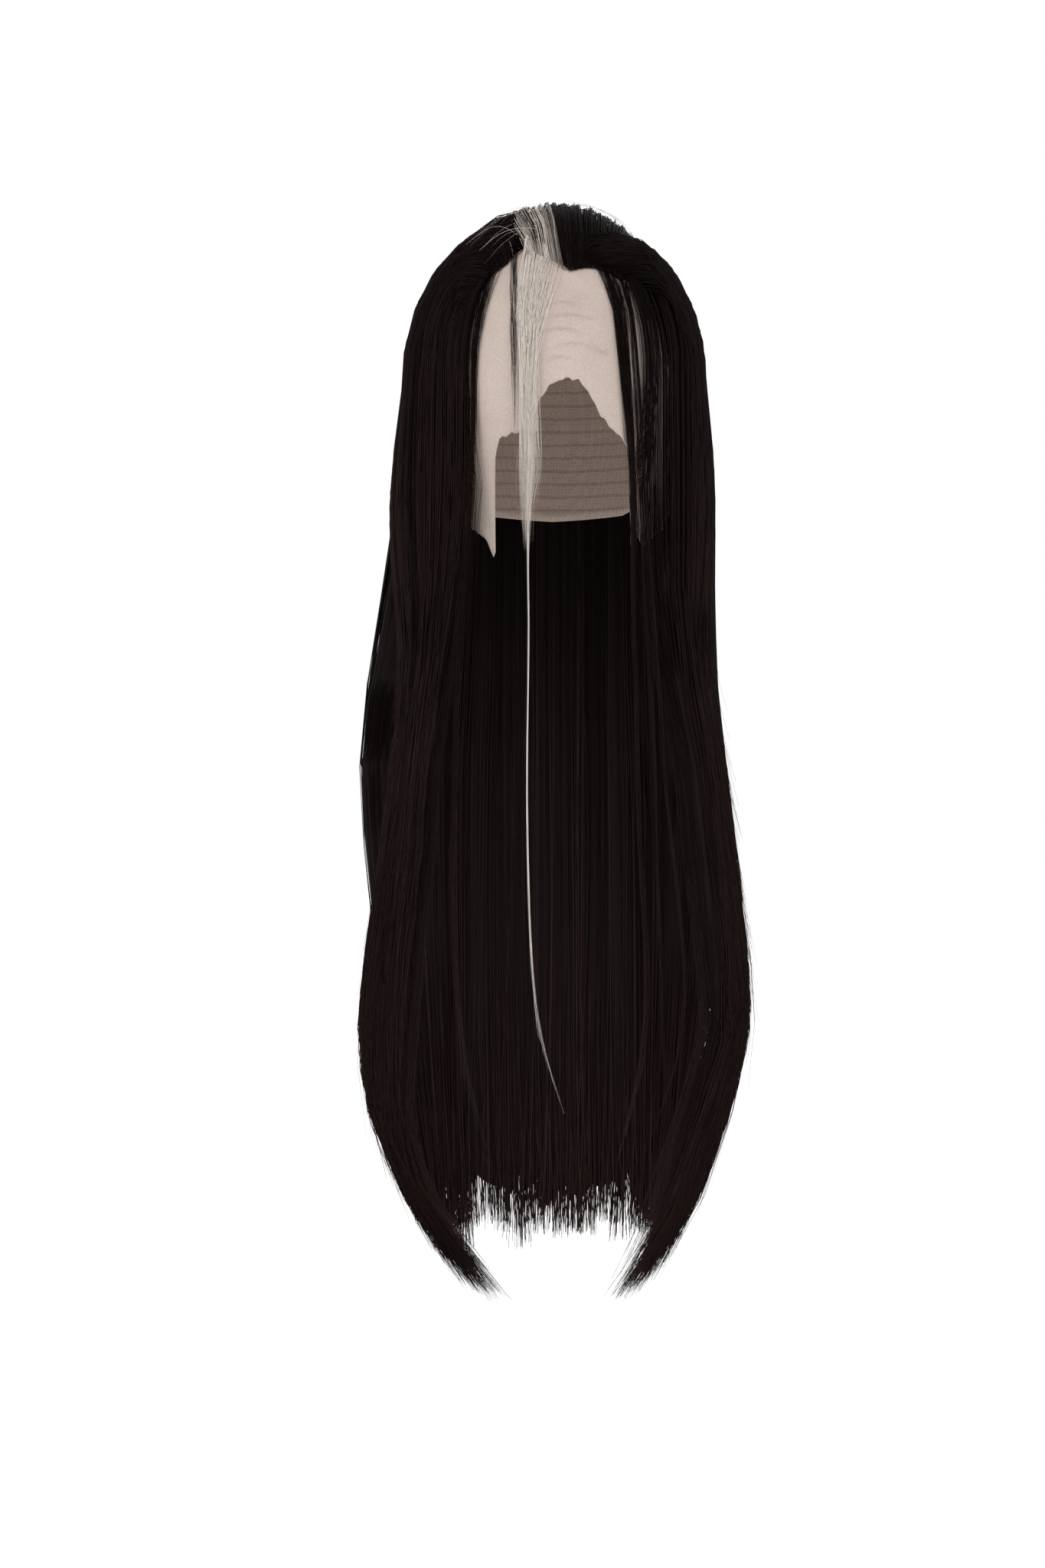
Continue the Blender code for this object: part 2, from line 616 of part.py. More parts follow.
def hanging_lock(name, table, columns, root_slant, look_name, look):
    """A lock that lies on the lace where the head form reaches it and hangs free below."""
    sections = []
    top = table[0][0]
    bottom = table[-1][0]
    for row in range(LOCK_ROWS + 1):
        share = row / LOCK_ROWS
        at = top + (bottom - top) * share ** LOCK_ROW_POWER
        centre, width, reach, depth = smooth_row(table, at)
        outer = []
        inner = []
        for column in range(columns):
            across = 2 * column / (columns - 1) - 1
            x = HEAD_WIDTH * (centre + across * width / 2)
            level = -HAIR_DROP * at - root_slant * across * max(0, 1 - share / ROOT_SHARE)
            lying = front_reach(x, level, LOCK_CLEAR)
            back = max(lying, HEAD_DEPTH * reach)
            thick = HEAD_WIDTH * depth * (1 - (1 - LOCK_SIDE_FULLNESS) * across ** 2)
            inner.append((x, -back, level))
            outer.append((x, -back - thick, level))
        sections.append((outer, inner))
    return loft(name, sections, look_name, look)


for old in list(bpy.data.objects):
    bpy.data.objects.remove(old, do_unlink=True)
wig = bpy.data.collections.new("lace_front_wig")
bpy.context.scene.collection.children.link(wig)

make_cap()
make_lace()


def left_parting(sweep_degrees):
    return -PARTING


def right_parting(sweep_degrees):
    return PARTING


def streak_left(sweep_degrees):
    return math.radians(smooth_row(STREAK_EDGES, sweep_degrees)[0])


def streak_right(sweep_degrees):
    return math.radians(smooth_row(STREAK_EDGES, sweep_degrees)[1])


def beside(edge, shift):
    """The same edge moved across the head, to leave a gap to the hair that meets it."""
    return lambda sweep_degrees: edge(sweep_degrees) + shift


crown_sweep("crown_sweep_left", left_parting, beside(streak_left, -PARTING_GAP), 3, "dark_hair", DARK_HAIR)
crown_sweep("crown_streak", streak_left, streak_right, 3, "white_hair", WHITE_HAIR)
crown_sweep("crown_sweep_right", beside(streak_right, PARTING_GAP), right_parting, 6, "dark_hair", DARK_HAIR)
side_fall("side_fall_left", -1, LEFT_FALL, 6)
side_fall("side_fall_right", 1, RIGHT_FALL, 6)
back_side_fall("back_fall_left", -1, 4)
back_side_fall("back_fall_right", 1, 4)
back_centre_fall("back_fall_centre", 5)
hanging_lock("front_streak_lock", FRONT_STREAK_LOCK, 5, STREAK_ROOT_SLANT, "white_hair", WHITE_HAIR)
hanging_lock("brow_lock", BROW_LOCK, 3, 0, "dark_hair", DARK_HAIR)
hanging_lock("temple_lock_left", TEMPLE_LOCK_LEFT, 3, 0, "dark_hair", DARK_HAIR)
hanging_lock("temple_lock_right_1", TEMPLE_LOCK_RIGHT_1, 3, 0, "dark_hair", DARK_HAIR)
hanging_lock("temple_lock_right_2", TEMPLE_LOCK_RIGHT_2, 3, 0, "dark_hair", DARK_HAIR)
hanging_lock("temple_lock_right_3", TEMPLE_LOCK_RIGHT_3, 3, 0, "dark_hair", DARK_HAIR)
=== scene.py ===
"""A worn lace front wig: long straight black hair with a white streak, on a net cap.

Metres, +Z up. The face looks along -Y and the viewer's left is -X. The origin is the inner apex of the cap.
A turn is an angle about the upright axis: 0 is the front and 90 degrees is +X.
"""
import math

import bmesh
import bpy
import numpy as np
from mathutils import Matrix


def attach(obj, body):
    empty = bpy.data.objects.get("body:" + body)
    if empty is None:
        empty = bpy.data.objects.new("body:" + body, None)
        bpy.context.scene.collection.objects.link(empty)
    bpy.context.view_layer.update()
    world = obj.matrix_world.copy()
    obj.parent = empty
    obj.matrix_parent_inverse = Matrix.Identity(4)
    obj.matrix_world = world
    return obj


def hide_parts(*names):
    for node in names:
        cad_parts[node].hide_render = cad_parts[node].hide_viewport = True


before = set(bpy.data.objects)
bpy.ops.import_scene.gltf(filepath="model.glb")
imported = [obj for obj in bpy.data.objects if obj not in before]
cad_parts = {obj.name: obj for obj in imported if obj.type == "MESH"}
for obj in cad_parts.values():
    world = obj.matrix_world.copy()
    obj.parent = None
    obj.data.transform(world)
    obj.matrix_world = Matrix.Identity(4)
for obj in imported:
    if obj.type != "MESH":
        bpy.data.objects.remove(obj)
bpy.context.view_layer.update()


# The picture: a level camera two metres in front of the face, with the wig a little right of the middle.
# A pale floor lies well below the hair, and the light is white and soft from all round.
CAMERA_DISTANCE = 2.0
CAMERA_X = -0.0197
CAMERA_LEVEL = -0.335
CAMERA_LENS = 74.0
CAMERA_SENSOR = 36
FLOOR_LEVEL = -1.15
FLOOR_REACH = 30.0
FLOOR_PAINT = (0.90, 0.90, 0.90)
FLOOR_GLOW = 0.17


def set_inputs(node, **values):
    """Give a shader node its values. Each is named like its input, with underscores for spaces."""
    for name, value in values.items():
        node.inputs[name.replace("_", " ")].default_value = value


def new_material(name, **values):
    """A material, its node tree and its one shader, which gets the values."""
    made = bpy.data.materials.new(name)
    made.use_nodes = True
    skin = made.node_tree.nodes["Principled BSDF"]
    set_inputs(skin, **values)
    return made, made.node_tree, skin


def soft_light(name, place, size, power):
    """A large square lamp that faces the middle of the hair."""
    lamp = bpy.data.lights.new(name, "AREA")
    lamp.size = size
    lamp.energy = power
    holder = bpy.data.objects.new(name, lamp)
    holder.location = place
    away = holder.location.copy()
    away.z -= CAMERA_LEVEL
    holder.rotation_euler = away.to_track_quat("Z", "Y").to_euler()
    scene.collection.objects.link(holder)


scene = bpy.context.scene
scene.view_settings.view_transform = "Standard"
camera = bpy.data.objects.new("camera", bpy.data.cameras.new("camera"))
camera.location = (CAMERA_X, -CAMERA_DISTANCE, CAMERA_LEVEL)
camera.rotation_euler = (math.radians(90), 0, 0)
camera.data.sensor_fit = "VERTICAL"
camera.data.sensor_height = CAMERA_SENSOR
camera.data.lens = CAMERA_LENS
scene.collection.objects.link(camera)
scene.camera = camera
world = bpy.data.worlds.new("studio")
world.use_nodes = True
set_inputs(world.node_tree.nodes["Background"], Color=(1, 1, 1, 1), Strength=1.0)
scene.world = world
soft_light("key", (-1.5, -1.7, 1.0), 1.2, 14)
soft_light("fill", (1.7, -1.5, 0.5), 1.4, 8)
floor_mesh = bpy.data.meshes.new("floor")
bm = bmesh.new()
bmesh.ops.create_grid(bm, x_segments=1, y_segments=1, size=FLOOR_REACH)
bmesh.ops.translate(bm, verts=bm.verts, vec=(0, 0, FLOOR_LEVEL))
bm.to_mesh(floor_mesh)
bm.free()
floor = bpy.data.objects.new("floor", floor_mesh)
scene.collection.objects.link(floor)
floor_mesh.materials.append(new_material("floor_paint", Base_Color=(*FLOOR_PAINT, 1), Roughness=0.9,
                                         Emission_Color=(1, 1, 1, 1), Emission_Strength=FLOOR_GLOW)[0])


# The cap is a dome of skin-coloured stretch net, sewn from a crown panel, two ear panels and a nape panel.
# Its rim runs from the hairline down in front of the ears and round the nape. Rows of hair are stitched
# across it.
HEAD_WIDTH = 0.152
HEAD_DEPTH = 0.196
CROWN_HEIGHT = 0.092
PLAN_POWER = 2.2
CROWN_POWER = 2.15
DRAW_IN_LEVEL = -0.110
DRAW_IN_DROP = 0.090
DRAW_IN_SHARE = 0.14
CAP_WALL = 0.0013
SEAM_GAP = 0.0006
# Turn in degrees, level as a share of CROWN_HEIGHT
CAP_RIM = (
    (-180, -1.79), (-150, -1.76), (-128, -1.62), (-112, -1.40), (-95, -1.22), (-75, -1.14), (-58, -1.04),
    (-45, -0.91), (-38, -0.76), (-34.5, -0.52), (-31, -0.30), (-26.5, -0.22), (-21, -0.11), (-8, -0.20),
    (4, -0.30), (9, -0.275), (18, -0.265), (27, -0.29), (36, -0.38), (41, -0.55), (47, -0.82), (58, -1.02),
    (75, -1.14), (95, -1.22), (112, -1.40), (128, -1.62), (150, -1.76), (180, -1.79),
)
CROWN_SEAM = ((-180, -0.33), (-50, -0.33), (-34.5, -0.49), (36, -0.35), (180, -0.33))
# Name, first and last turn in degrees, columns, rows
CAP_PANELS = (
    ("cap_crown", -180, 180, 150, 22), ("cap_ear_left", -104.8, -34.5, 40, 18),
    ("cap_ear_right", 36, 104.8, 40, 18), ("cap_nape", 105.2, 254.8, 70, 28),
)


def edge_level(table, turn):
    """Level of an edge whose table goes once round the head."""
    turns, shares = np.array(table, float).T
    return CROWN_HEIGHT * np.interp((turn + 180) % 360 - 180, turns, shares)


def plan_radius(turn, stand_off):
    """Distance from the upright axis to the widest ring of the head form."""
    side = np.abs(np.sin(turn)) / (HEAD_WIDTH / 2 + stand_off)
    front = np.abs(np.cos(turn)) / (HEAD_DEPTH / 2 + stand_off)
    return (side ** PLAN_POWER + front ** PLAN_POWER) ** (-1 / PLAN_POWER)


def ring_share(level, stand_off):
    """Size of the head form's ring at a level, as a share of its widest ring."""
    height = np.clip((level + CROWN_HEIGHT) / (CROWN_HEIGHT + stand_off), 0, 1)
    dome = (1 - height ** CROWN_POWER) ** (1 / CROWN_POWER)
    drop = np.clip((DRAW_IN_LEVEL - level) / DRAW_IN_DROP, 0, 1.2)
    return np.where(height > 0, dome, 1 - DRAW_IN_SHARE * drop ** 1.6)


def points_at(x, y, z):
    """Points by their three places, each one value or an array."""
    return np.stack(np.broadcast_arrays(x, y, z), -1)


def around(turn, radius, level):
    """Points by turn, distance from the upright axis and level."""
    return points_at(radius * np.sin(turn), -radius * np.cos(turn), level)


def wall_point(turn, level, stand_off):
    """A point of the head form by turn and level."""
    return around(turn, plan_radius(turn, stand_off) * ring_share(level, stand_off), level)


def new_piece(name, node, mesh, look, wall=0, offset=0):
    """A piece in place of a node, or of none. look is its material and a slot name, which is not used. A wall
    is as thick at each corner as the corner's fullness says."""
    material, slot = look
    mesh.shade_smooth()
    mesh.materials.append(material)
    piece = bpy.data.objects.new(name, mesh)
    scene.collection.objects.link(piece)
    if wall:
        piece.vertex_groups.new(name="fullness")
        solid = piece.modifiers.new("wall", "SOLIDIFY")
        solid.thickness = wall
        solid.offset = offset
        solid.vertex_group = "fullness"
    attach(piece, "root")
    if node:
        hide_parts(node)
    return piece


def sheet_piece(name, node, columns, rows, place, look, offset):
    """A sheet with a wall. place() gives points and walls by their shares across and up a flat grid."""
    bm = bmesh.new()
    bmesh.ops.create_grid(bm, x_segments=columns, y_segments=rows, size=1)
    layer = bm.loops.layers.uv.new("OFBake")
    fullness = bm.verts.layers.deform.verify()
    for face in bm.faces:
        for loop in face.loops:
            loop[layer].uv = ((loop.vert.co.x + 1) / 2, (loop.vert.co.y + 1) / 2)
    flat = (np.array([corner.co[:2] for corner in bm.verts]) + 1) / 2
    points, walls = place(flat[:, 0], flat[:, 1])
    thickest = float(np.max(walls))
    for corner, point, wall in zip(bm.verts, points, np.broadcast_to(walls, len(flat))):
        corner.co = point
        corner[fullness][0] = wall / thickest
    bmesh.ops.remove_doubles(bm, verts=bm.verts, dist=0.00001)
    mesh = bpy.data.meshes.new(name)
    bm.to_mesh(mesh)
    bm.free()
    return new_piece(name, node, mesh, look, thickest, offset)


def add_node(tree, kind, source, fed, **values):
    """A shader node with its values. source feeds the input named fed."""
    made = tree.nodes.new("ShaderNode" + kind)
    set_inputs(made, **values)
    tree.links.new(source, made.inputs[fed])
    return made


def add_bump(tree, skin, height, strength, distance):
    """Let the surface rise and fall with a value."""
    bump = add_node(tree, "Bump", height, "Height", Strength=strength, Distance=distance)
    tree.links.new(bump.outputs["Normal"], skin.inputs["Normal"])


def net_texture(tree, cells, uneven):
    """The place on the piece, and the distance there from the threads of a net."""
    place = tree.nodes.new("ShaderNodeTexCoord").outputs["Object"]
    net = add_node(tree, "TexVoronoi", place, "Vector", Scale=cells, Randomness=uneven)
    net.feature = "DISTANCE_TO_EDGE"
    return place, net.outputs["Distance"]


def ramp(tree, source, *stops):
    """A colour ramp fed by one value, with its stops as position and grey or colour."""
    made = add_node(tree, "ValToRGB", source, "Fac")
    while len(made.color_ramp.elements) < len(stops):
        made.color_ramp.elements.new(1.0)
    for element, (position, colour) in zip(made.color_ramp.elements, stops):
        element.position = position
        element.color = (*np.broadcast_to(colour, 3), 1)
    return made.outputs["Color"]


def blended(tree, factor, first, second):
    """A colour, or a node's output, mixed with a second colour by a factor."""
    made = tree.nodes.new("ShaderNodeMix")
    made.data_type = "RGBA"
    tree.links.new(factor, made.inputs["Factor"])
    if isinstance(first, tuple):
        set_inputs(made, A=(*first, 1))
    else:
        tree.links.new(first, made.inputs["A"])
    set_inputs(made, B=(*second, 1))
    return made.outputs["Result"]


CAP_NET_PALE = (0.60, 0.485, 0.41)
CAP_NET_HOLE = (0.42, 0.325, 0.27)
CAP_NET_ROW = (0.20, 0.145, 0.12)
CAP_MESH = 520
CAP_ROW_SPACING = 0.0085
cap_net, tree, skin = new_material("cap_net", Roughness=0.85)
place, threads = net_texture(tree, CAP_MESH, uneven=0.5)
stitched = add_node(tree, "TexWave", place, "Vector", Scale=0.314 / CAP_ROW_SPACING, Distortion=0.8, Detail=3,
                    Detail_Scale=2.5)
stitched.bands_direction = "Z"
holed = blended(tree, ramp(tree, threads, (0.05, 0.0), (0.30, 0.8)), CAP_NET_PALE, CAP_NET_HOLE)
rows = ramp(tree, stitched.outputs["Fac"], (0.80, 0.0), (0.97, 0.36))
tree.links.new(blended(tree, rows, holed, CAP_NET_ROW), skin.inputs["Base Color"])
add_bump(tree, skin, threads, strength=0.5, distance=0.0004)


def make_cap_panel(node, first, last, columns, rows):
    """One panel of the cap, from its lower edge up to the crown seam or the apex."""

    def place_panel(across, up):
        turn = first + across * (last - first)
        rim = edge_level(CAP_RIM, turn)
        seam = edge_level(CROWN_SEAM, turn)
        level = rim + up * (seam - SEAM_GAP - rim)
        if node == "cap_crown":
            level = np.maximum(rim, seam) * (1 - np.cos((1 - up) * math.pi / 2))
        return wall_point(np.radians(turn), level, 0), CAP_WALL

    sheet_piece(node + "_net", node, columns, rows, place_panel, (cap_net, "cap_net"), 1)


for panel_row in CAP_PANELS:
    make_cap_panel(*panel_row)


# The lace is one sheet of fine beige net that continues the cap over the forehead and the temples. It has not
# been trimmed, so its cut edge is uneven, and it wrinkles in small arches over the middle of the brow.
LACE_WALL = 0.0004
LACE_COLUMNS = 170
LACE_ROWS = 46
LACE_GAP = 0.0004
LACE_REACH = 95
# Turn in degrees, level as a share of CROWN_HEIGHT: the free edge, from ear to ear
LACE_EDGE = (
    (-95, -1.36), (-75, -1.66), (-58, -1.83), (-40, -1.95), (-30, -2.04), (-26, -2.19), (-24, -1.87),
    (-22.5, -1.55), (-20.5, -1.42), (-17, -1.395), (-12, -1.375), (-8, -1.30), (-5.5, -1.17), (-2, -1.08),
    (3, -1.04), (8, -1.05), (11.5, -1.13), (15, -1.26), (20, -1.35), (25, -1.42), (28, -1.50), (30.5, -1.80),
    (33.5, -2.09), (38, -2.03), (42, -2.09), (50, -2.01), (62, -1.95), (75, -1.80), (95, -1.36),
)
# Arched wrinkles: place across and level of the arch's top, half width, radius of the arch, the fold's height
BROW_WRINKLES = (
    (0.004, -0.0495, 0.012, 0.018, 0.0009), (0.008, -0.0575, 0.019, 0.040, 0.0010),
    (0.003, -0.0660, 0.016, 0.024, 0.0011), (0.011, -0.0750, 0.020, 0.034, 0.0009),
    (0.002, -0.0830, 0.013, 0.020, 0.0008), (0.026, -0.0800, 0.010, -0.016, 0.0008),
)
WRINKLE_WIDTH = 0.0013
FOLD_HEIGHT = 0.0011
EDGE_CURL = 0.0006
EDGE_CURL_REACH = 0.008
EDGE_WAVES = ((0.0006, 1.9), (0.0004, 4.3))


def brow_folds(x, level):
    """Height of the lace's wrinkles at places across the brow."""
    height = np.zeros(np.shape(x))
    for middle, top, half_width, arch, most in BROW_WRINKLES:
        crest = top - (x - middle) ** 2 / (2 * arch)
        fade = np.clip(1 - ((x - middle) / half_width) ** 2, 0, 1)
        height = height + most * fade * np.exp(-((level - crest) / WRINKLE_WIDTH) ** 2)
    return height


def place_lace(across, up):
    """Points of the lace, from its free edge at 0 up to the cap's rim at 1."""
    turn = (2 * across - 1) * LACE_REACH
    low = edge_level(LACE_EDGE, turn)
    low = low + sum(height * np.sin(turn * often) for height, often in EDGE_WAVES)
    level = low + up * (edge_level(CAP_RIM, turn) - LACE_GAP - low)
    angle = np.radians(turn)
    lift = EDGE_CURL * np.exp(-(level - low) / EDGE_CURL_REACH) * (1 + np.sin(turn * 0.55))
    lift = lift + brow_folds(plan_radius(angle, 0) * np.sin(angle), level)
    return wall_point(angle, level, 0) + lift[:, None] * around(angle, 1.0, 0.0), LACE_WALL


def attribute(tree, name):
    """A value that is stored with the mesh."""
    made = tree.nodes.new("ShaderNodeAttribute")
    made.attribute_name = name
    return made.outputs["Fac"]


def store(mesh, name, values):
    """Store one value with each corner of a mesh."""
    mesh.attributes.new(name, "FLOAT", "POINT").data.foreach_set("value", values.astype(np.float32))


LACE_PALE = (0.52, 0.435, 0.385)
LACE_SHADE = (0.43, 0.345, 0.30)
LACE_FOLD_SHADE = (0.34, 0.25, 0.20)
LACE_MESH = 1100
lace_net, tree, skin = new_material("lace_net", Roughness=0.75, Specular_IOR_Level=0.25)
place, threads = net_texture(tree, LACE_MESH, uneven=1.0)
blotch = add_node(tree, "TexNoise", place, "Vector", Scale=28, Detail=4)
cloudy = blended(tree, ramp(tree, blotch.outputs["Fac"], (0.38, 0.0), (0.72, 0.7)), LACE_PALE, LACE_SHADE)
# The net is darker along its folds: partly the doubled net, partly painted shade in the creases.
fold_shade = ramp(tree, attribute(tree, "fold"), (0.1, 0.0), (0.9, 0.42))
tree.links.new(blended(tree, fold_shade, cloudy, LACE_FOLD_SHADE), skin.inputs["Base Color"])
tree.links.new(ramp(tree, threads, (0.08, 0.97), (0.30, 0.74)), skin.inputs["Alpha"])
lace = sheet_piece("lace_sheet", "lace_front", LACE_COLUMNS, LACE_ROWS, place_lace, (lace_net, "lace_net"), 1)
corners = np.array([corner.co for corner in lace.data.vertices])
store(lace.data, "fold", brow_folds(corners[:, 0], corners[:, 2]) / FOLD_HEIGHT)


# The dark hair is straight black-brown fibre. It is built as fine closed strands, which taper to their ends,
# over an undercoat that stands for the hair further in.
HAIR_DROP = 0.640
HAIR_CLEAR = 0.0024
STRAND_SIDES = 3


def smooth_columns(table, at):
    """A table's further columns at values of its first column, on a smooth curve through its rows."""
    rows = np.array(table, float)
    knots = rows[:, 0]
    at = np.clip(at, knots[0], knots[-1])
    low = np.clip(np.searchsorted(knots, at, side="right") - 1, 0, len(knots) - 2)
    span = knots[low + 1] - knots[low]
    part = (at - knots[low]) / span
    before = np.maximum(np.arange(len(knots)) - 1, 0)
    after = np.minimum(np.arange(len(knots)) + 1, len(knots) - 1)
    found = []
    for value in rows.T[1:]:
        slope = (value[after] - value[before]) / (knots[after] - knots[before])
        first = (2 * part ** 3 - 3 * part ** 2 + 1) * value[low]
        last = (3 * part ** 2 - 2 * part ** 3) * value[low + 1]
        lean = (part ** 3 - 2 * part ** 2 + part) * slope[low] + (part ** 3 - part ** 2) * slope[low + 1]
        found.append(first + last + lean * span)
    return found


def unit(vectors):
    """Vectors of length 1."""
    return vectors / np.maximum(np.linalg.norm(vectors, axis=-1, keepdims=True), 1e-12)


def strand_piece(name, node, paths, radii, tint, look):
    """Many strands as one piece: a closed three-sided tube along each path, with its tint and share along."""
    count, points, _ = paths.shape
    along = unit(np.gradient(paths, axis=1))
    middle = np.zeros_like(paths)
    middle[..., 2] = np.minimum(paths[..., 2], -CROWN_HEIGHT)
    side = unit(np.cross(along, unit(paths - middle)))
    up = np.cross(side, along)
    rings = []
    for k in range(STRAND_SIDES):
        angle = math.radians(90 + 360 * k / STRAND_SIDES)
        rings.append(paths + radii[..., None] * (math.cos(angle) * side + math.sin(angle) * up))
    rings = np.stack(rings, 2)
    first = np.arange(count)[:, None] * points * STRAND_SIDES
    start = first[..., None] + np.arange(points - 1)[:, None] * STRAND_SIDES
    k = np.arange(STRAND_SIDES)
    k_next = (k + 1) % STRAND_SIDES
    quads = np.stack([start + k, start + STRAND_SIDES + k, start + STRAND_SIDES + k_next, start + k_next], -1)
    ends = np.concatenate([first + k, first + (points - 1) * STRAND_SIDES + k[::-1]])
    mesh = bpy.data.meshes.new(name)
    mesh.vertices.add(rings.size // 3)
    mesh.vertices.foreach_set("co", rings.ravel())
    mesh.loops.add(quads.size + ends.size)
    mesh.loops.foreach_set("vertex_index", np.concatenate([quads.ravel(), ends.ravel()]).astype(np.int32))
    starts = np.concatenate([np.arange(0, quads.size, 4), quads.size + np.arange(0, ends.size, 3)])
    mesh.polygons.add(len(starts))
    mesh.polygons.foreach_set("loop_start", starts.astype(np.int32))
    mesh.update(calc_edges=True)
    width = 0.9 / count
    left = np.arange(count) / count
    low = np.broadcast_to((np.arange(points - 1) / (points - 1))[:, None], (count, points - 1, STRAND_SIDES))
    high = low + 1 / (points - 1)
    near = np.broadcast_to(left[:, None, None] + width * k / STRAND_SIDES, low.shape)
    far = near + width / STRAND_SIDES
    quad_uv = np.stack([near, low, near, high, far, high, far, low], -1)
    end_uv = np.stack([np.tile(left, 2)[:, None] + width * np.array([0, 0.5, 1]),
                       np.repeat([0.0, 0.999], count)[:, None] + 0.001 * np.array([0, 1, 0])], -1)
    layer = mesh.uv_layers.new(name="OFBake")
    layer.data.foreach_set("uv", np.concatenate([quad_uv.ravel(), end_uv.ravel()]))
    store(mesh, "tint", np.repeat(tint, points * STRAND_SIDES))
    store(mesh, "along", np.tile(np.repeat(np.linspace(0, 1, points), STRAND_SIDES), count))
    return new_piece(name, node, mesh, look)


def hair_material(name, stops, root_share, tip_colour, tip_share, **values):
    """Hair whose colour varies from strand to strand, darker near its roots and turning towards its tips."""
    made, tree, skin = new_material(name, Specular_IOR_Level=0.38, **values)
    along = attribute(tree, "along")
    near_root = ramp(tree, along, (0.0, root_share), (0.62, 0.0))
    near_tip = ramp(tree, along, (0.72, 0.0), (1.0, tip_share))
    rooted = blended(tree, near_root, ramp(tree, attribute(tree, "tint"), *stops), stops[0][1])
    tree.links.new(blended(tree, near_tip, rooted, tip_colour), skin.inputs["Base Color"])
    return made


def undercoat_material(name, dark, light):
    """The hair further in: fine streaks that run down the hair."""
    made, tree, skin = new_material(name, Roughness=0.6, IOR=1.15)
    place = tree.nodes.new("ShaderNodeUVMap").outputs["UV"]
    place = add_node(tree, "Mapping", place, "Vector", Scale=(260, 4, 1)).outputs["Vector"]
    streaks = add_node(tree, "TexNoise", place, "Vector", Scale=1, Detail=3).outputs["Fac"]
    tree.links.new(ramp(tree, streaks, (0.38, dark), (0.68, light)), skin.inputs["Base Color"])
    add_bump(tree, skin, streaks, strength=0.6, distance=0.0006)
    return made


DARK_STOPS = ((0.0, (0.0026, 0.0015, 0.0016)), (0.45, (0.0098, 0.0056, 0.0055)),
              (0.85, (0.024, 0.0135, 0.0125)), (1.0, (0.054, 0.031, 0.027)))
DARK_TIP = (0.028, 0.016, 0.015)
UNDER_DARK = (0.0040, 0.0024, 0.0025)
UNDER_LIGHT = (0.0130, 0.0078, 0.0075)
dark_hair = (hair_material("dark_hair", DARK_STOPS, 0.9, DARK_TIP, 0.6, Roughness=0.45, IOR=1.20,
                           Specular_Tint=(1.0, 0.76, 0.72, 1)), "dark_hair")
dark_undercoat = (undercoat_material("dark_undercoat", UNDER_DARK, UNDER_LIGHT), "dark_hair")


def strand_radii(count, points, thickness, rng, root_share, taper_from):
    """Radii along strands: a little thin at the root, full along the length, fine at the tip."""
    share = np.linspace(0, 1, points)
    form = np.minimum(root_share + (1 - root_share) * share / 0.08, 1)
    form = form * np.clip((1.02 - share) / (1.02 - taper_from), 0.10, 1) ** 0.8
    return thickness * rng.uniform(0.7, 1.3, (count, 1)) * form


def even_shares(count, rng):
    """Shares from 0 to 1, evenly spread and shuffled, each a little off its place."""
    return rng.permutation((np.arange(count) + rng.random(count)) / count)


def nearest_lock(shares, locks, rng):
    """The lock that each strand belongs to, and that lock's middle."""
    middles = np.sort((np.arange(locks) + rng.uniform(0.15, 0.85, locks)) / locks)
    lock = np.argmin(np.abs(shares[:, None] - middles), axis=1)
    return lock, middles[lock]


def long_strands(node, kind, on_head, hanging, width, root_share, taper_from, lock, locks, look, rng):
    """Strands that lie on the head and then hang. Their tints vary a little by lock and more by strand."""
    paths = np.concatenate([on_head, hanging], axis=1)
    radii = strand_radii(len(lock), paths.shape[1], width / 2, rng, root_share, taper_from)
    tint = np.clip(rng.beta(1.5, 3.2, len(lock)) + 0.16 * rng.normal(0, 1, locks)[lock], 0, 1)
    strand_piece(node + kind, node, paths, radii, tint, look)


def waves(steps, count, most, rng):
    """A slow sideways wander for each strand."""
    return np.sin(steps * rng.uniform(2, most, (count, 1)) + rng.uniform(0, 6.3, (count, 1)))


def eased(steps):
    """Values that rise fast from 0 and level out at 1."""
    return np.sin(np.clip(steps, 0, 1) * math.pi / 2)


def dome_points(direction, stand_off):
    """Where rays from the middle of the widest ring leave the head form."""
    side = np.abs(direction[..., 0]) / (HEAD_WIDTH / 2 + stand_off)
    front = np.abs(direction[..., 1]) / (HEAD_DEPTH / 2 + stand_off)
    rise = np.abs(direction[..., 2]) / (CROWN_HEIGHT + stand_off)
    plan = (side ** PLAN_POWER + front ** PLAN_POWER) ** (CROWN_POWER / PLAN_POWER)
    reach = (plan + rise ** CROWN_POWER) ** (-1 / CROWN_POWER)
    return direction * reach[..., None] - (0, 0, CROWN_HEIGHT)


def turned(turn, rise):
    """Directions by turn about the upright axis and rise above the widest ring."""
    return around(turn, np.cos(rise), np.sin(rise))


def swept(across, sweep):
    """Directions by angle across the head and sweep from the face, up over the crown and back."""
    return points_at(np.sin(across), -np.cos(across) * np.cos(sweep), np.cos(across) * np.sin(sweep))


# The back hair flows from the crown over the back of the cap and hangs down wide and flat, in three falls
# that meet edge to edge.
PARTING = math.radians(25)
CROWN_BACK_RISE = math.radians(32.3)
BACK_CENTRE_TURN = math.radians(150)
LOCK_RIDGE = 0.0016
OUTER_SHARE = 0.74
HEAD_STEPS = 7
HANG_STEPS = 11
HEAD_SHARES = np.linspace(0, 1, HEAD_STEPS + 1)[None, :-1]
HANG_DROPS = np.linspace(0, 1, HANG_STEPS)[None, :] ** 0.9
STRAND_WIDTH = 0.00056
LOOSE_WIDTH_SHARE = 0.5
LEAST_DEPTH = 0.0012
WANDER = 0.010
STRAY_WANDER = 0.07
STRAY_STRANDS = 0.06
TIP_FAN_TURN = math.radians(2.4)
TIP_FAN_LIFT = 0.0035
COAT_DEPTH = 0.45
COAT_WALL = 0.6
COAT_HANGING = 0.8
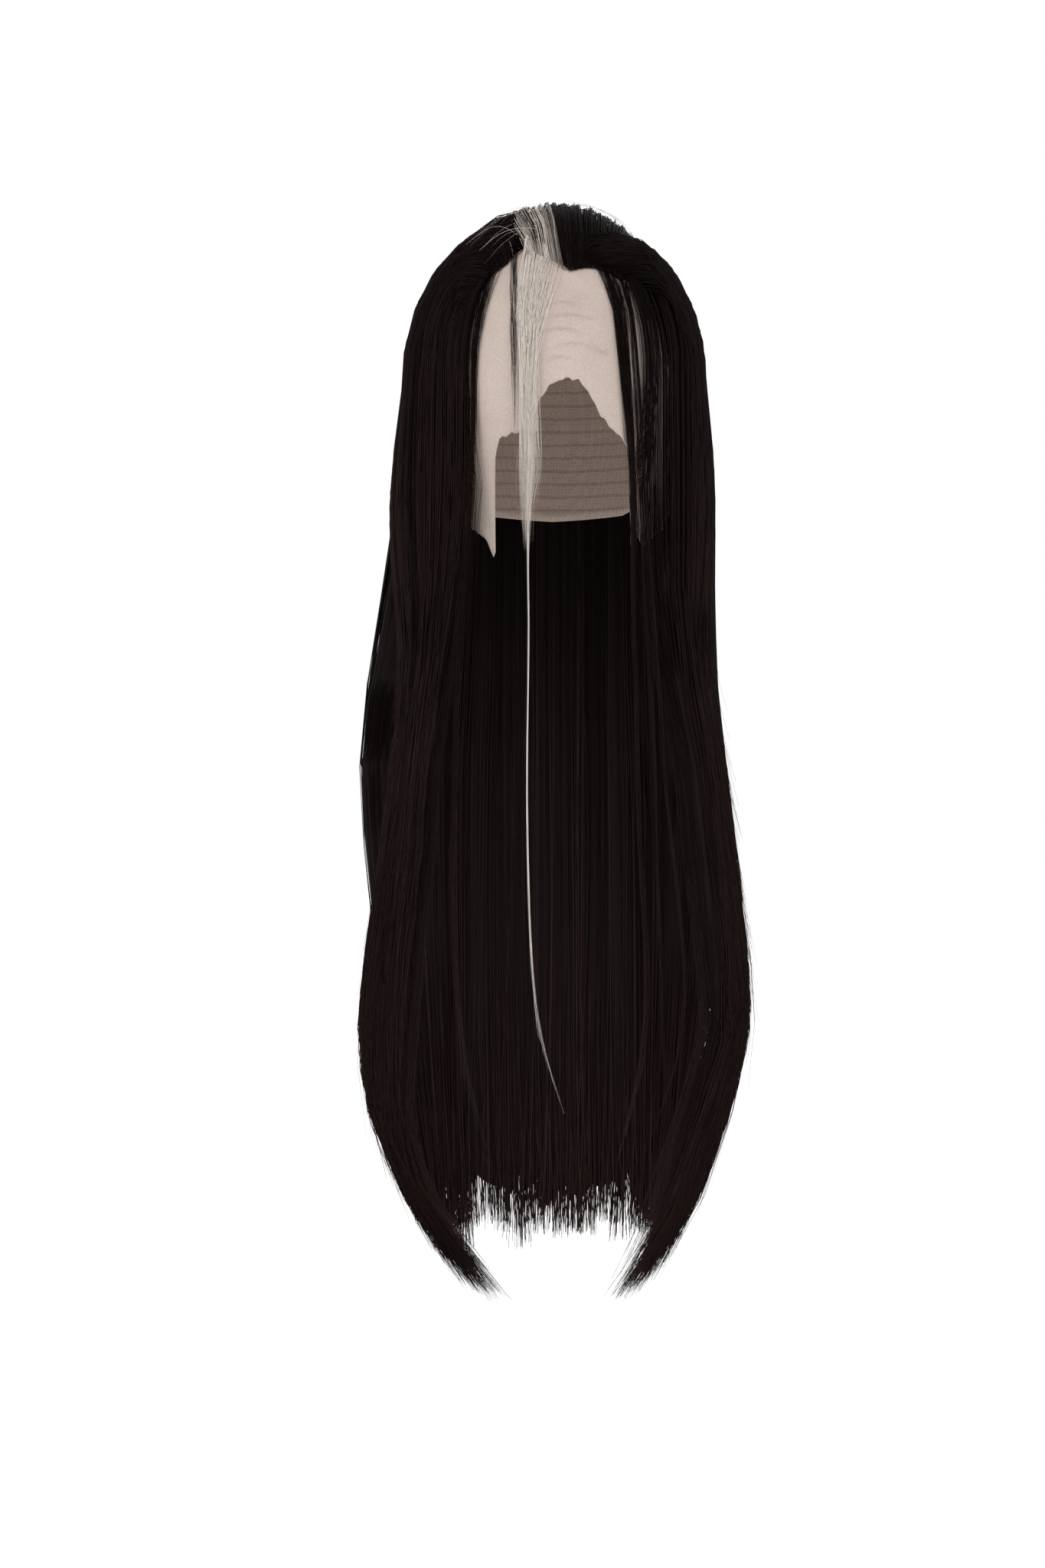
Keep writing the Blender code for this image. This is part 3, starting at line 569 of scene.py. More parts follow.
HEM_POINTS = 60
PAST_LACE = 0.36
PAST_LACE_FADE = 0.12
BACK_SIDE_STRANDS = 640
BACK_CENTRE_STRANDS = 940
# Columns, in thousandths but for the turns: level as a share of HAIR_DROP, turns in degrees of the left and
# right edges, then as shares of HEAD_WIDTH the stand-off inside each edge and inside the middle of the back,
# and the depth of hair
BACK_HAIR = np.array((
    (0, 105, 105, 16, 16, 16, 98), (144, 105, 105, 16, 16, 16, 105), (203, 106, 106, 50, 45, 22, 100),
    (266, 107, 107, 108, 84, 24, 95), (327, 110, 110, 165, 107, 24, 90), (391, 116, 117, 245, 150, 20, 85),
    (453, 123, 125, 360, 205, 14, 80), (531, 126, 129, 410, 295, 6, 75), (703, 130, 132, 375, 300, 0, 65),
    (875, 135, 137, 290, 240, -10, 50), (1000, 140, 142, 200, 170, -20, 20),
)) / (1000, 1, 1, 1000, 1000, 1000, 1000)


def fall_start(turn):
    """Rise above the widest ring where the falls start: on a side parting, or behind the crown."""
    side = np.clip(math.sin(PARTING) / np.maximum(np.abs(np.sin(turn)), 0.001), 0, 1)
    return np.maximum(np.arccos(side), CROWN_BACK_RISE)


def staggered_head(lock, locks, rng):
    """Steps of strands over the head, moved on a little from lock to lock, for a smooth outline."""
    moved = rng.uniform(-0.45, 0.45, locks)[lock][:, None] / HEAD_STEPS
    return HEAD_SHARES + moved * (HEAD_SHARES > 0)


def hang(section, share, layer, tip, out, rng):
    """The hanging part of strands, from the widest ring down to their tips, which fan out a little. layer
    runs from 0, the inside of the hair, to 1, its outside."""
    count = len(tip)
    level = -CROWN_HEIGHT + HANG_DROPS * (tip[:, None] + CROWN_HEIGHT)
    turn, inner, depth = section(level, share)
    loose = HANG_DROPS ** 8
    fan = np.clip(rng.normal(0, 1, (2, count, 1)), -1.6, 1.6)
    turn = turn + TIP_FAN_TURN * fan[0] * loose
    stand_off = inner + np.maximum(depth, LEAST_DEPTH) * layer + out + TIP_FAN_LIFT * fan[1] * loose
    return around(turn, plan_radius(turn, 0) + stand_off, level)


def wandering(shares, middle, gather, loose_edge, rng):
    """Shares across a fall down hanging strands: drawn to their locks, a little wavy, a few astray."""
    count = len(shares)
    pull = (middle - shares)[:, None] * gather * HANG_DROPS ** 2.4
    wander = WANDER * waves(HANG_DROPS * 3, count, 3.0, rng)
    stray = np.where(rng.random(count) < STRAY_STRANDS, STRAY_WANDER, 0)[:, None]
    stray = stray * waves(HANG_DROPS * 2, count, 2.5, rng)
    at = shares[:, None] + pull + (wander + stray) * np.sqrt(HANG_DROPS)
    return np.clip(at, -0.01, 1.01) - loose_edge * np.sqrt(HANG_DROPS)


def place_undercoat(section, first, first_below, last, high, low, seed):
    """Points and walls of a fall's undercoat from its first to its last share across. first_below is its
    first share below the lace. Its lower edge is ragged, between shares high and low of HAIR_DROP."""
    ragged = -HAIR_DROP * np.random.default_rng(seed).uniform(high, low, HEM_POINTS)

    def place(across, up):
        end = ragged[(across * (HEM_POINTS - 1)).astype(int)]
        level = -CROWN_HEIGHT + np.clip(1 - up / COAT_HANGING, 0, 1) * (end + CROWN_HEIGHT)
        by_the_face = np.clip((PAST_LACE + level / HAIR_DROP) / PAST_LACE_FADE, 0, 1)
        start = first_below + (first - first_below) * by_the_face
        share = start + (last - start) * across
        turn, inner, depth = section(-CROWN_HEIGHT, share)
        climb = np.clip((up - COAT_HANGING) / (1 - COAT_HANGING), 0, 1)
        sink = 1 - 0.55 * climb ** 3
        on_head = dome_points(turned(turn, fall_start(turn) * climb), (inner + depth * COAT_DEPTH) * sink)
        turn, inner, depth = section(level, share)
        hanging = around(turn, plan_radius(turn, 0) + inner + depth * COAT_DEPTH, level)
        thin = np.clip(up / 0.25, 0.05, 1) * np.clip(np.minimum(across, 1 - across) / 0.08, 0.2, 1)
        walls = depth * COAT_WALL * thin * sink ** 1.5
        return np.where((up > COAT_HANGING)[:, None], on_head, hanging), walls

    return place


def make_fall(node, section, shares, loose_edge, locks, gather, uneven, taper_from, first_rise, coat, seed):
    """One fall of straight strands that start on the head, in locks that draw together at their tips, over
    its undercoat. uneven says how much their lengths vary."""
    rng = np.random.default_rng(seed)
    count = len(shares)
    lock, middle = nearest_lock(shares, locks, rng)
    at = wandering(shares, middle, gather, loose_edge, rng)
    outer = rng.random(count) < OUTER_SHARE
    layer = np.where(outer, 1 - 0.45 * rng.random(count) ** 1.5, 0.4 * rng.random(count))
    ridge = LOCK_RIDGE * np.clip(np.abs(shares - middle) * 2 * locks, 0, 1.2) ** 2 * np.where(outer, 1, 0)
    length = 1.0 - rng.uniform(0.0, 0.03, locks)[lock] - np.abs(rng.normal(0, uneven, count))
    tip = -HAIR_DROP * np.clip(length, 0.70, 1.0)
    hanging = hang(section, at, layer[:, None], tip, -ridge[:, None], rng)
    head = staggered_head(lock, locks, rng)
    turn, inner, depth = section(-CROWN_HEIGHT, shares)
    rise = (fall_start(turn) * rng.uniform(*first_rise, count))[:, None] * (1 - head)
    sink = 1 - 0.5 * (1 - head) ** 3
    on_head = dome_points(turned(turn[:, None], rise), (inner + depth * layer - ridge)[:, None] * sink)
    width = STRAND_WIDTH * np.where(loose_edge > 0, LOOSE_WIDTH_SHARE, 1)
    long_strands(node, "_strands", on_head, hanging, width, 0.7, taper_from, lock, locks, dark_hair, rng)
    sheet_piece(node + "_undercoat", node, 30, 34, place_undercoat(section, *coat, seed), dark_undercoat, 0)


def back_edges(level):
    """Turns of the back hair's left and right edges at a level, each from the middle of the face."""
    return [np.radians(edge) for edge in smooth_columns(BACK_HAIR, -level / HAIR_DROP)[:2]]


def back_reach(level, from_middle):
    """Angle from the middle of the back hair to its edge, on the left where from_middle is above 0."""
    left, right = back_edges(level)
    return math.pi - np.where(from_middle > 0, left, right)


def back_section(level, turn):
    """Inner stand-off and depth of the back hair. A turn of pi is the middle, and more is to the left."""
    left_off, right_off, middle_off, depth = smooth_columns(BACK_HAIR, -level / HAIR_DROP)[2:]
    rest = ((turn - math.pi) / back_reach(level, turn - math.pi)) ** 2
    edge_off = np.where(turn > math.pi, left_off, right_off)
    return HEAD_WIDTH * (middle_off + (edge_off - middle_off) * rest), HEAD_WIDTH * depth


def back_fall_section(side):
    """One fall's turn, stand-off and depth. side is -1 or 1 for a flank and 0 for the middle."""

    def section(level, share):
        left, right = back_edges(level)
        if side == 0:
            turn = BACK_CENTRE_TURN + share * 2 * (math.pi - BACK_CENTRE_TURN)
        elif side > 0:
            turn = right + share * (BACK_CENTRE_TURN - right)
        else:
            turn = 2 * math.pi - left - share * (BACK_CENTRE_TURN - left)
        return (turn, *back_section(level, turn))

    return section


rng = np.random.default_rng(20)
for node, side, count, locks, seed in (
    ("back_fall_left", -1, BACK_SIDE_STRANDS, 9, 21),
    ("back_fall_right", 1, BACK_SIDE_STRANDS, 9, 22),
    ("back_fall_centre", 0, BACK_CENTRE_STRANDS, 16, 23),
):
    make_fall(node, back_fall_section(side), even_shares(count, rng), np.zeros((count, 1)), locks, 0.16,
              0.018, 0.98, (1.02, 1.25), (-0.005, -0.005, 1.005, 0.915, 0.955), seed)


# The crown hair is knotted along the hairline and combed up and back over the top, dark on both sides of a
# white streak. It springs up from its roots, so its top outline is tufted. Its ends lie over the back hair.
CROWN_DEPTH = 0.0215
SIDE_DEPTH = 0.0150
BACK_DEPTH = 0.0165
HAIRLINE_DEPTH = 0.0030
HAIRLINE_RISE = math.radians(32)
BACK_FADE = 0.55
ROOT_SWEEP = math.radians(50)
CROWN_COAT_DEPTH = 0.40
COAT_START = math.radians(4)
COAT_LAST_SWEEP = math.radians(165)
CROWN_SHARES = np.array([[0, 0.012, 0.035, 0.08, 0.14, 0.21, 0.29, 0.38, 0.48, 0.59, 0.71, 0.85, 1]])
TAIL_SHARES = np.array([[0.25, 0.5, 0.75, 1]])
TAIL_LENGTHS = (0.03, 0.24)
CROWN_DRIFT = 0.5
EDGE_DRIFT = 0.8
CROWN_RIDGE = 0.0008
MOST_TUFT = 0.0014
# Sweep across the head in degrees, sweep up from the face in degrees
HAIRLINE = (
    (-40, 38), (-25, 44), (-22, 47), (-17.5, 50), (-13.5, 57.5), (-11, 60), (3, 40.7), (10, 44.2),
    (16.5, 45.6), (21, 44.5), (25, 43.5), (40, 36),
)
# Sweep up from the face in degrees, then the white streak's left and right edges across the head in degrees
STREAK_EDGES = (
    (40, -9.5, 3.2), (49, -9.8, 1.0), (60, -11.0, -0.2), (68, -13.6, -1.0), (90, -14.2, -2.4),
    (120, -13.0, -3.0), (150, -12.0, -3.4),
)


def hairline_sweep(across):
    """Sweep of the hairline at an angle across the head."""
    return np.radians(np.interp(np.degrees(across), *np.array(HAIRLINE, float).T))


def crown_depth(across, sweep, start):
    """Depth of the combed hair: thin at the hairline, full on top, less towards the sides and the back."""
    rise = eased((sweep - start) / HAIRLINE_RISE) ** 0.8
    back = np.clip(sweep / (math.pi / 2) - 1, 0, BACK_FADE) / BACK_FADE
    top = CROWN_DEPTH + back * (BACK_DEPTH - CROWN_DEPTH)
    full = top + np.clip(np.abs(across) / PARTING, 0, 1) ** 2 * (SIDE_DEPTH - top)
    return HAIRLINE_DEPTH + (full - HAIRLINE_DEPTH) * rise


def crown_across(node, share, sweep):
    """Angle across the head at a share of the way over one piece of the crown hair."""
    streak = [np.radians(edge) for edge in smooth_columns(STREAK_EDGES, np.degrees(sweep))]
    left, right = {"crown_sweep_left": (-PARTING, streak[0]), "crown_streak": streak,
                   "crown_sweep_right": (streak[1], PARTING)}[node]
    return left + share * (right - left)


def drifted(across, first_across, head):
    """Angles across the head that move outwards on the way back, most at the outer edges."""
    drift = CROWN_DRIFT + EDGE_DRIFT * np.abs(first_across / PARTING) ** 3
    return across * (1 + drift * head ** 1.4)


def crown_strands(node, kind, share, locks, ahead, width, look, seed):
    """Strands combed back between a piece's two edges, and down over the back hair. The foremost ones are
    rooted ahead of the hairline by an angle in degrees."""
    rng = np.random.default_rng(seed)
    count = len(share)
    head = CROWN_SHARES
    first_across = crown_across(node, share, ROOT_SWEEP)
    rooted = rng.random(count) < OUTER_SHARE
    behind = np.where(rooted, rng.random(count) ** 1.6 * 7 - ahead, rng.uniform(6, 50, count))
    hairline = hairline_sweep(first_across)
    start = hairline + np.radians(behind)
    sweep = start[:, None] + (math.pi - start)[:, None] * head
    lock, middle = nearest_lock(share, locks, rng)
    pull = (middle - share)[:, None] * (0.30 * np.sin(head * math.pi) + 0.25 * head)
    wander = 0.05 * waves(head * 2, count, 2.5, rng) * head
    across = crown_across(node, share[:, None] + pull + wander, sweep)
    across = drifted(across, first_across[:, None], head)
    depth = crown_depth(across, sweep, hairline[:, None])
    layer = 0.96 - np.where(rooted, 0.62, 0.34) * rng.random(count) ** 1.3
    ridge = CROWN_RIDGE * np.clip(np.abs(share - middle) * 2 * locks, 0, 1.3)[:, None] ** 2
    tuft = rng.uniform(-0.0008, 0.0003, locks)[lock] + 0.0004 * rng.exponential(1.0, count)
    tuft = np.minimum(tuft, MOST_TUFT)[:, None] * np.sin(np.clip(head * 2.0, 0, 1) * math.pi)
    full = HAIR_CLEAR + depth * layer[:, None] - ridge * np.clip(head * 6, 0, 1) + tuft
    sunk = 0.45 * (1 - np.clip(head / 0.2, 0, 1)) ** 2 * np.where(rooted, 0, 1)[:, None]
    grown = CAP_WALL + (full - CAP_WALL) * eased(head / 0.05)
    stand_off = np.where(rooted[:, None], grown, full * (1 - sunk))
    settle = np.clip((head - 0.70) / 0.30, 0, 1)
    last_turn = math.pi - across[:, -1]
    inner, back_depth = back_section(-CROWN_HEIGHT, last_turn)
    cover = 0.93 + 0.12 * layer
    over = (inner + back_depth * cover)[:, None]
    on_head = dome_points(swept(across, sweep), stand_off * (1 - settle) + over * settle)
    tail_end = -CROWN_HEIGHT - rng.uniform(*TAIL_LENGTHS, count)[:, None]
    level = -CROWN_HEIGHT + TAIL_SHARES * (tail_end + CROWN_HEIGHT)
    from_middle = last_turn[:, None] - math.pi
    from_middle = np.clip(from_middle / back_reach(-CROWN_HEIGHT, from_middle), -0.97, 0.97)
    turn = math.pi + from_middle * back_reach(level, from_middle)
    turn = turn + np.radians(1.0) * waves(TAIL_SHARES * 2, count, 2.0, rng) * TAIL_SHARES
    inner, back_depth = back_section(level, turn)
    hanging = around(turn, plan_radius(turn, 0) + inner + back_depth * cover[:, None], level)
    long_strands(node, kind, on_head, hanging, width, 0.5, 0.75, lock, locks, look, rng)


def crown_undercoat(node, look):
    """The combed hair further in."""

    def place(across, up):
        first_across = crown_across(node, across, ROOT_SWEEP)
        start = hairline_sweep(first_across) + COAT_START
        sweep = start + (COAT_LAST_SWEEP - start) * (1 - up)
        angle = drifted(crown_across(node, across, sweep), first_across, 1 - up)
        depth = crown_depth(angle, sweep, hairline_sweep(first_across))
        full = np.clip((1 - up) / 0.15, 0.1, 1)
        points = dome_points(swept(angle, sweep), HAIR_CLEAR + depth * CROWN_COAT_DEPTH * full)
        return points, depth * COAT_WALL * full

    sheet_piece(node + "_undercoat", node, 24, 24, place, look, 0)


WHITE_STOPS = ((0.0, (0.13, 0.112, 0.102)), (0.35, (0.40, 0.355, 0.32)), (0.65, (0.70, 0.635, 0.575)),
               (1.0, (0.92, 0.845, 0.775)))
WHITE_TIP = (0.66, 0.60, 0.55)
UNDER_GREY = ((0.035, 0.029, 0.027), (0.20, 0.175, 0.16))
STREAK_WIDTH = 0.00042
white_hair = (hair_material("white_hair", WHITE_STOPS, 0, WHITE_TIP, 0.3, Roughness=0.45, IOR=1.35,
                            Specular_Tint=(1.0, 0.96, 0.92, 1)), "white_hair")
grey_undercoat = (undercoat_material("grey_undercoat", *UNDER_GREY), "white_hair")
rng = np.random.default_rng(30)
# Node, kind, shares across, locks, degrees ahead of the hairline, width, look, seed
for crown_row in (
    ("crown_sweep_left", "_strands", even_shares(560, rng), 9, 1.2, STRAND_WIDTH, dark_hair, 31),
    ("crown_sweep_right", "_strands", even_shares(1150, rng), 17, 1.2, STRAND_WIDTH, dark_hair, 32),
    ("crown_streak", "_strands", even_shares(400, rng), 7, 3.2, STREAK_WIDTH, white_hair, 33),
    ("crown_streak", "_edge_strands", -0.5 * rng.random(48) ** 1.5, 7, 1.2, STREAK_WIDTH * 0.6, white_hair,
     38),
    ("crown_streak", "_dark_strands", rng.random(150) ** 1.6 * 0.75 - 0.05, 7, 2.0, STREAK_WIDTH, dark_hair,
     34),
):
    crown_strands(*crown_row)
crown_undercoat("crown_sweep_left", dark_undercoat)
crown_undercoat("crown_sweep_right", dark_undercoat)
crown_undercoat("crown_streak", grey_undercoat)


def stray_arcs(name, ends, count, out, width, look, seed):
    """Single strands that bow over the combed hair. ends gives the ranges of their first and last ends'
    across and sweep angles in degrees."""
    rng = np.random.default_rng(seed)
    share = np.linspace(0, 1, 12)[None, :]
    ends = [low + (high - low) * rng.random((count, 1)) for low, high in ends]
    across = np.radians(ends[0] + (ends[2] - ends[0]) * share)
    bow = rng.uniform(0, 9, (count, 1)) * np.sin(share * math.pi)
    sweep = np.radians(ends[1] + (ends[3] - ends[1]) * share + bow)
    start = np.minimum(hairline_sweep(across), math.radians(46))
    above = rng.uniform(out * 0.3, out, (count, 1)) * (0.4 + np.sin(share * math.pi))
    paths = dome_points(swept(across, sweep), HAIR_CLEAR + crown_depth(across, sweep, start) + above)
    radii = strand_radii(count, 12, width / 2, rng, 0.6, 0.5)
    strand_piece(name, None, paths, radii, rng.beta(3, 2, count), look)


# Name, ranges of the ends, count, height above the hair, width, look, seed
for stray_row in (
    ("white_strays", ((-12, -4), (54, 72), (-40, -18), (46, 68)), 9, 0.0009, 0.00010, white_hair, 35),
    ("dark_strays_left", ((-24, -14), (52, 75), (-40, -30), (50, 78)), 8, 0.0010, 0.00011, dark_hair, 36),
    ("dark_strays_right", ((2, 18), (56, 80), (14, 34), (58, 88)), 10, 0.0012, 0.00011, dark_hair, 37),
):
    stray_arcs(*stray_row)


# The side falls come down from the crown over the temples and hang down in front. Each is a thick band of
# locks that bows outwards on its way down and turns inwards to its wispy tips.
SIDE_BACK_TURN = math.radians(105)
# Columns, in thousandths but for the turns: level as a share of HAIR_DROP, turns in degrees of the edge by
# the face and the back edge, then as shares of HEAD_WIDTH the stand-off inside each and the depth of hair
LEFT_FALL = np.array((
    (0, 33, 105, 16, 16, 96), (144, 33, 105, 16, 16, 100), (203, 33, 102, 15, 50, 106),
    (266, 34, 101, 8, 72, 105), (328, 37, 93, 12, 60, 99), (391, 41, 80, 34, 48, 92),
    (453, 41, 69, 96, 64, 92), (531, 38, 61, 193, 138, 92), (625, 36, 57, 274, 222, 92),
    (703, 37, 55, 335, 296, 86), (758, 37, 54, 353, 327, 79), (817, 38, 51, 365, 325, 66),
    (859, 37, 48, 353, 282, 59), (898, 34, 43, 298, 232, 53), (938, 28, 37, 227, 183, 46),
    (969, 22, 29, 168, 134, 33), (1000, 16, 20, 129, 108, 13),
)) / (1000, 1, 1, 1000, 1000, 1000)
RIGHT_FALL = np.array((
    (0, 33, 105, 16, 16, 96), (144, 33, 105, 16, 16, 100), (203, 33, 102, 15, 40, 106),
    (266, 34, 101, 8, 54, 105), (328, 36, 93, 10, 52, 99), (391, 40, 82, 20, 66, 92),
    (453, 41, 71, 104, 88, 92), (531, 39, 62, 206, 160, 92), (625, 37, 57, 298, 234, 92),
    (703, 38, 55, 359, 296, 86), (742, 38, 54, 373, 309, 79), (781, 36, 52, 341, 304, 72),
    (820, 34, 49, 306, 280, 66), (859, 31, 46, 265, 243, 59), (898, 29, 42, 236, 206, 53),
    (938, 26, 36, 200, 159, 46), (969, 22, 29, 165, 128, 33), (992, 17, 21, 134, 111, 13),
)) / (1000, 1, 1, 1000, 1000, 1000)
SIDE_STRANDS = 1090
SIDE_FRINGE = 90
SIDE_LOCKS = 10
HAIRLINE_STRANDS = 650
ROOT_BAND = 0.009
ROOT_OVERLAP = 0.0012
ROOT_LEAN = (0.05, 0.16, 0.42)


def side_section(side, table):
    """A side fall's turn, inner stand-off and depth of hair, by level and share from its face edge."""

    def section(level, share):
        face, back, face_off, back_off, depth = smooth_columns(table, -level / HAIR_DROP)
        turn = np.radians(face + share * (back - face))
        turn = side * np.minimum(turn, SIDE_BACK_TURN)
        fullness = np.clip(0.3 + 0.7 * share / 0.2, 0.15, 1)
        return turn, HEAD_WIDTH * (face_off + share * (back_off - face_off)), HEAD_WIDTH * depth * fullness

    return section


def hairline_strands(node, side, section, root_turns, nearest, seed):
    """Strands from the edge of the lace, which rise over the parting and join the outside of the fall."""
    rng = np.random.default_rng(seed)
    count = HAIRLINE_STRANDS
    high = rng.random(count) ** 0.85
    root = root_turns[0] + high * (root_turns[1] - root_turns[0])
    root_level = edge_level(CAP_RIM, root) + ROOT_BAND * rng.random(count) ** 1.6 - ROOT_OVERLAP
    first = unit(wall_point(np.radians(root), root_level, 0) + (0, 0, CROWN_HEIGHT))
    share = np.clip(nearest + (0.93 - nearest) * high ** 1.15 + rng.normal(0, 0.03, count), 0, 1)
    lock, middle = nearest_lock(share, SIDE_LOCKS, rng)
    head = staggered_head(lock, SIDE_LOCKS, rng) ** 1.3
    turn, inner, depth = section(-CROWN_HEIGHT, share)
    last = turned(turn, 0.0)
    lean = (0.35 + 0.65 * high)[:, None]
    over = unit(0.5 * first + 0.5 * last + lean * ROOT_LEAN * (side, 1, 1))
    bow = head[..., None]
    direction = unit((1 - bow) ** 2 * first[:, None] + 2.2 * bow * (1 - bow) * over[:, None]
                     + bow ** 2 * last[:, None])
    across = np.arcsin(np.clip(direction[..., 0], -1, 1))
    sweep = np.arctan2(direction[..., 2], -direction[..., 1])
    layer = rng.uniform(0.92, 1.06, count)[:, None]
    on_crown = HAIR_CLEAR + crown_depth(across, sweep, hairline_sweep(across)) * layer
    on_side = CAP_WALL + (inner[:, None] + depth[:, None] * layer - CAP_WALL) * eased(head / 0.35)
    past = np.clip((np.abs(across) / PARTING - 0.7) / 0.6, 0, 1)
    full = on_crown + (on_side - on_crown) * past * past * (3 - 2 * past)
    on_head = dome_points(direction, CAP_WALL + (full - CAP_WALL) * eased(head / 0.08))
    tip = -HAIR_DROP * rng.uniform(0.45, 0.97, count)
    hanging = hang(section, wandering(share, middle, 0.55, 0, rng), layer, tip, 0, rng)
    long_strands(node, "_hairline", on_head, hanging, STRAND_WIDTH, 0.4, 0.7, lock, SIDE_LOCKS, dark_hair,
                 rng)


rng = np.random.default_rng(10)
for node, side, table, root_turns, nearest, crowding, coat, seed in (
    ("side_fall_left", -1, LEFT_FALL, (-36.5, -20.0), 0.01, 0.85, (0.05, 0.05, 0.97, 0.70, 0.86), 11),
    ("side_fall_right", 1, RIGHT_FALL, (38.0, 8.0), 0.27, 0.52, (0.34, -0.06, 0.97, 0.82, 0.88), 12),
):
    section = side_section(side, table)
    shares = np.concatenate([even_shares(SIDE_STRANDS, rng) ** crowding, 0.08 * rng.random(SIDE_FRINGE)])
    loose_edge = np.concatenate([np.zeros(SIDE_STRANDS), 0.03 + 0.30 * rng.random(SIDE_FRINGE) ** 3])[:, None]
    make_fall(node, section, shares, loose_edge, SIDE_LOCKS, 0.50, 0.035, 0.89, (1.02, 1.12), coat, seed)
    hairline_strands(node, side, section, root_turns, nearest, seed + 3)


# The loose locks hang in front of the falls: a white one down the middle of the face, a short dark one beside
# it, one by the left temple and three by the right. They lie on the lace and then hang free, and thin to fine
# tips.
LOCK_CLEAR = 0.0012
LOCK_STEPS = 17
# Columns, in thousandths: level as a share of HAIR_DROP, centre and width as shares of HEAD_WIDTH, reach in
# front of the axis as a share of HEAD_DEPTH, depth as a share of HEAD_WIDTH
FRONT_STREAK_LOCK = (
    (18, -35, 160, 270, 6), (30, -43, 156, 290, 10), (79, -79, 141, 430, 16), (117, -94, 90, 490, 18),
    (178, -99, 72, 513, 20), (237, -97, 68, 515, 20), (267, -107, 41, 518, 17), (297, -109, 22, 520, 16),
    (380, -105, 20, 531, 14), (523, -113, 17, 561, 13), (631, -105, 17, 597, 13), (702, -90, 16, 612, 12),
    (759, -61, 14, 617, 11), (825, 31, 7, 617, 5),
)
BROW_LOCK = (
    (20, -170, 60, 230, 5), (32, -176, 60, 270, 7), (78, -178, 70, 400, 11), (117, -176, 50, 470, 11),
    (156, -168, 30, 499, 10), (203, -161, 10, 503, 5),
)
TEMPLE_LOCK_LEFT = (
    (45, -255, 30, 280, 6), (78, -288, 30, 340, 11), (117, -314, 22, 390, 12), (144, -319, 17, 410, 13),
    (203, -321, 16, 431, 13), (266, -336, 16, 439, 13), (328, -355, 16, 439, 13), (408, -395, 16, 439, 13),
    (459, -387, 16, 456, 13), (528, -389, 16, 505, 13), (595, -401, 16, 571, 13), (661, -393, 16, 597, 13),
    (728, -375, 14, 607, 13), (795, -343, 14, 612, 12), (859, -263, 7, 612, 5),
)
TEMPLE_LOCK_RIGHT_1 = (
    (40, 195, 70, 300, 6), (72, 243, 60, 360, 11), (117, 263, 50, 400, 12), (152, 275, 44, 430, 13),
    (188, 289, 33, 441, 13), (237, 300, 24, 446, 13), (294, 303, 20, 449, 13), (386, 305, 17, 454, 13),
    (436, 314, 16, 464, 13), (506, 317, 16, 494, 13), (611, 329, 16, 577, 13), (695, 350, 16, 602, 13),
    (762, 339, 14, 610, 12), (820, 289, 12, 612, 9), (870, 230, 7, 612, 5),
)
TEMPLE_LOCK_RIGHT_2 = (
    (42, 240, 30, 290, 6), (78, 284, 20, 340, 11), (117, 300, 14, 380, 12), (152, 310, 12, 410, 13),
    (188, 317, 13, 431, 13), (234, 327, 14, 439, 13), (294, 337, 14, 440, 13), (391, 357, 14, 446, 13),
    (438, 370, 14, 460, 13), (516, 384, 14, 500, 13), (584, 388, 14, 551, 13), (667, 399, 14, 585, 13),
    (744, 406, 13, 592, 12), (822, 425, 7, 592, 5),
)
TEMPLE_LOCK_RIGHT_3 = (
    (45, 265, 30, 280, 6), (87, 303, 18, 340, 11), (117, 316, 14, 370, 12), (152, 328, 12, 400, 13),
    (188, 335, 13, 431, 13), (234, 345, 14, 439, 13), (294, 358, 14, 440, 13), (391, 388, 16, 445, 13),
    (442, 407, 16, 460, 13), (528, 425, 16, 506, 13), (580, 447, 16, 556, 13), (630, 470, 16, 590, 13),
    (695, 497, 16, 613, 13), (762, 477, 14, 622, 12), (812, 421, 12, 622, 9), (856, 347, 7, 622, 5),
)
# Sparse hair beside the locks, which the lace shows through
TEMPLE_VEIL_RIGHT = (
    (36, 215, 120, 290, 6), (72, 268, 110, 350, 12), (117, 290, 105, 390, 14), (200, 318, 90, 436, 16),
    (300, 338, 90, 446, 18), (430, 362, 110, 462, 20), (560, 390, 130, 530, 22), (760, 420, 110, 590, 16),
)
TEMPLE_VEIL_LEFT = (
    (30, -215, 70, 270, 6), (60, -262, 70, 320, 10), (117, -318, 50, 390, 12), (200, -335, 40, 431, 13),
    (330, -365, 50, 440, 14), (480, -410, 80, 470, 16), (680, -420, 90, 590, 16),
)
STREAK_ROOT_SLANT = 0.0088
DARK_TINTS = (1.8, 2.6)
PALE_TINTS = (8, 1.2)
SOFT_EDGES = (1.7, 1.7)
LONG_ENDS = (0.85, 1.0)


def front_reach(x, level, stand_off):
    """How far the head form reaches in front of the axis at a place on the face."""
    side = np.abs(x) / (HEAD_WIDTH / 2 + stand_off)
    flat = np.clip(ring_share(level, stand_off) ** PLAN_POWER - side ** PLAN_POWER, 0, 1)
    return (HEAD_DEPTH / 2 + stand_off) * flat ** (1 / PLAN_POWER)


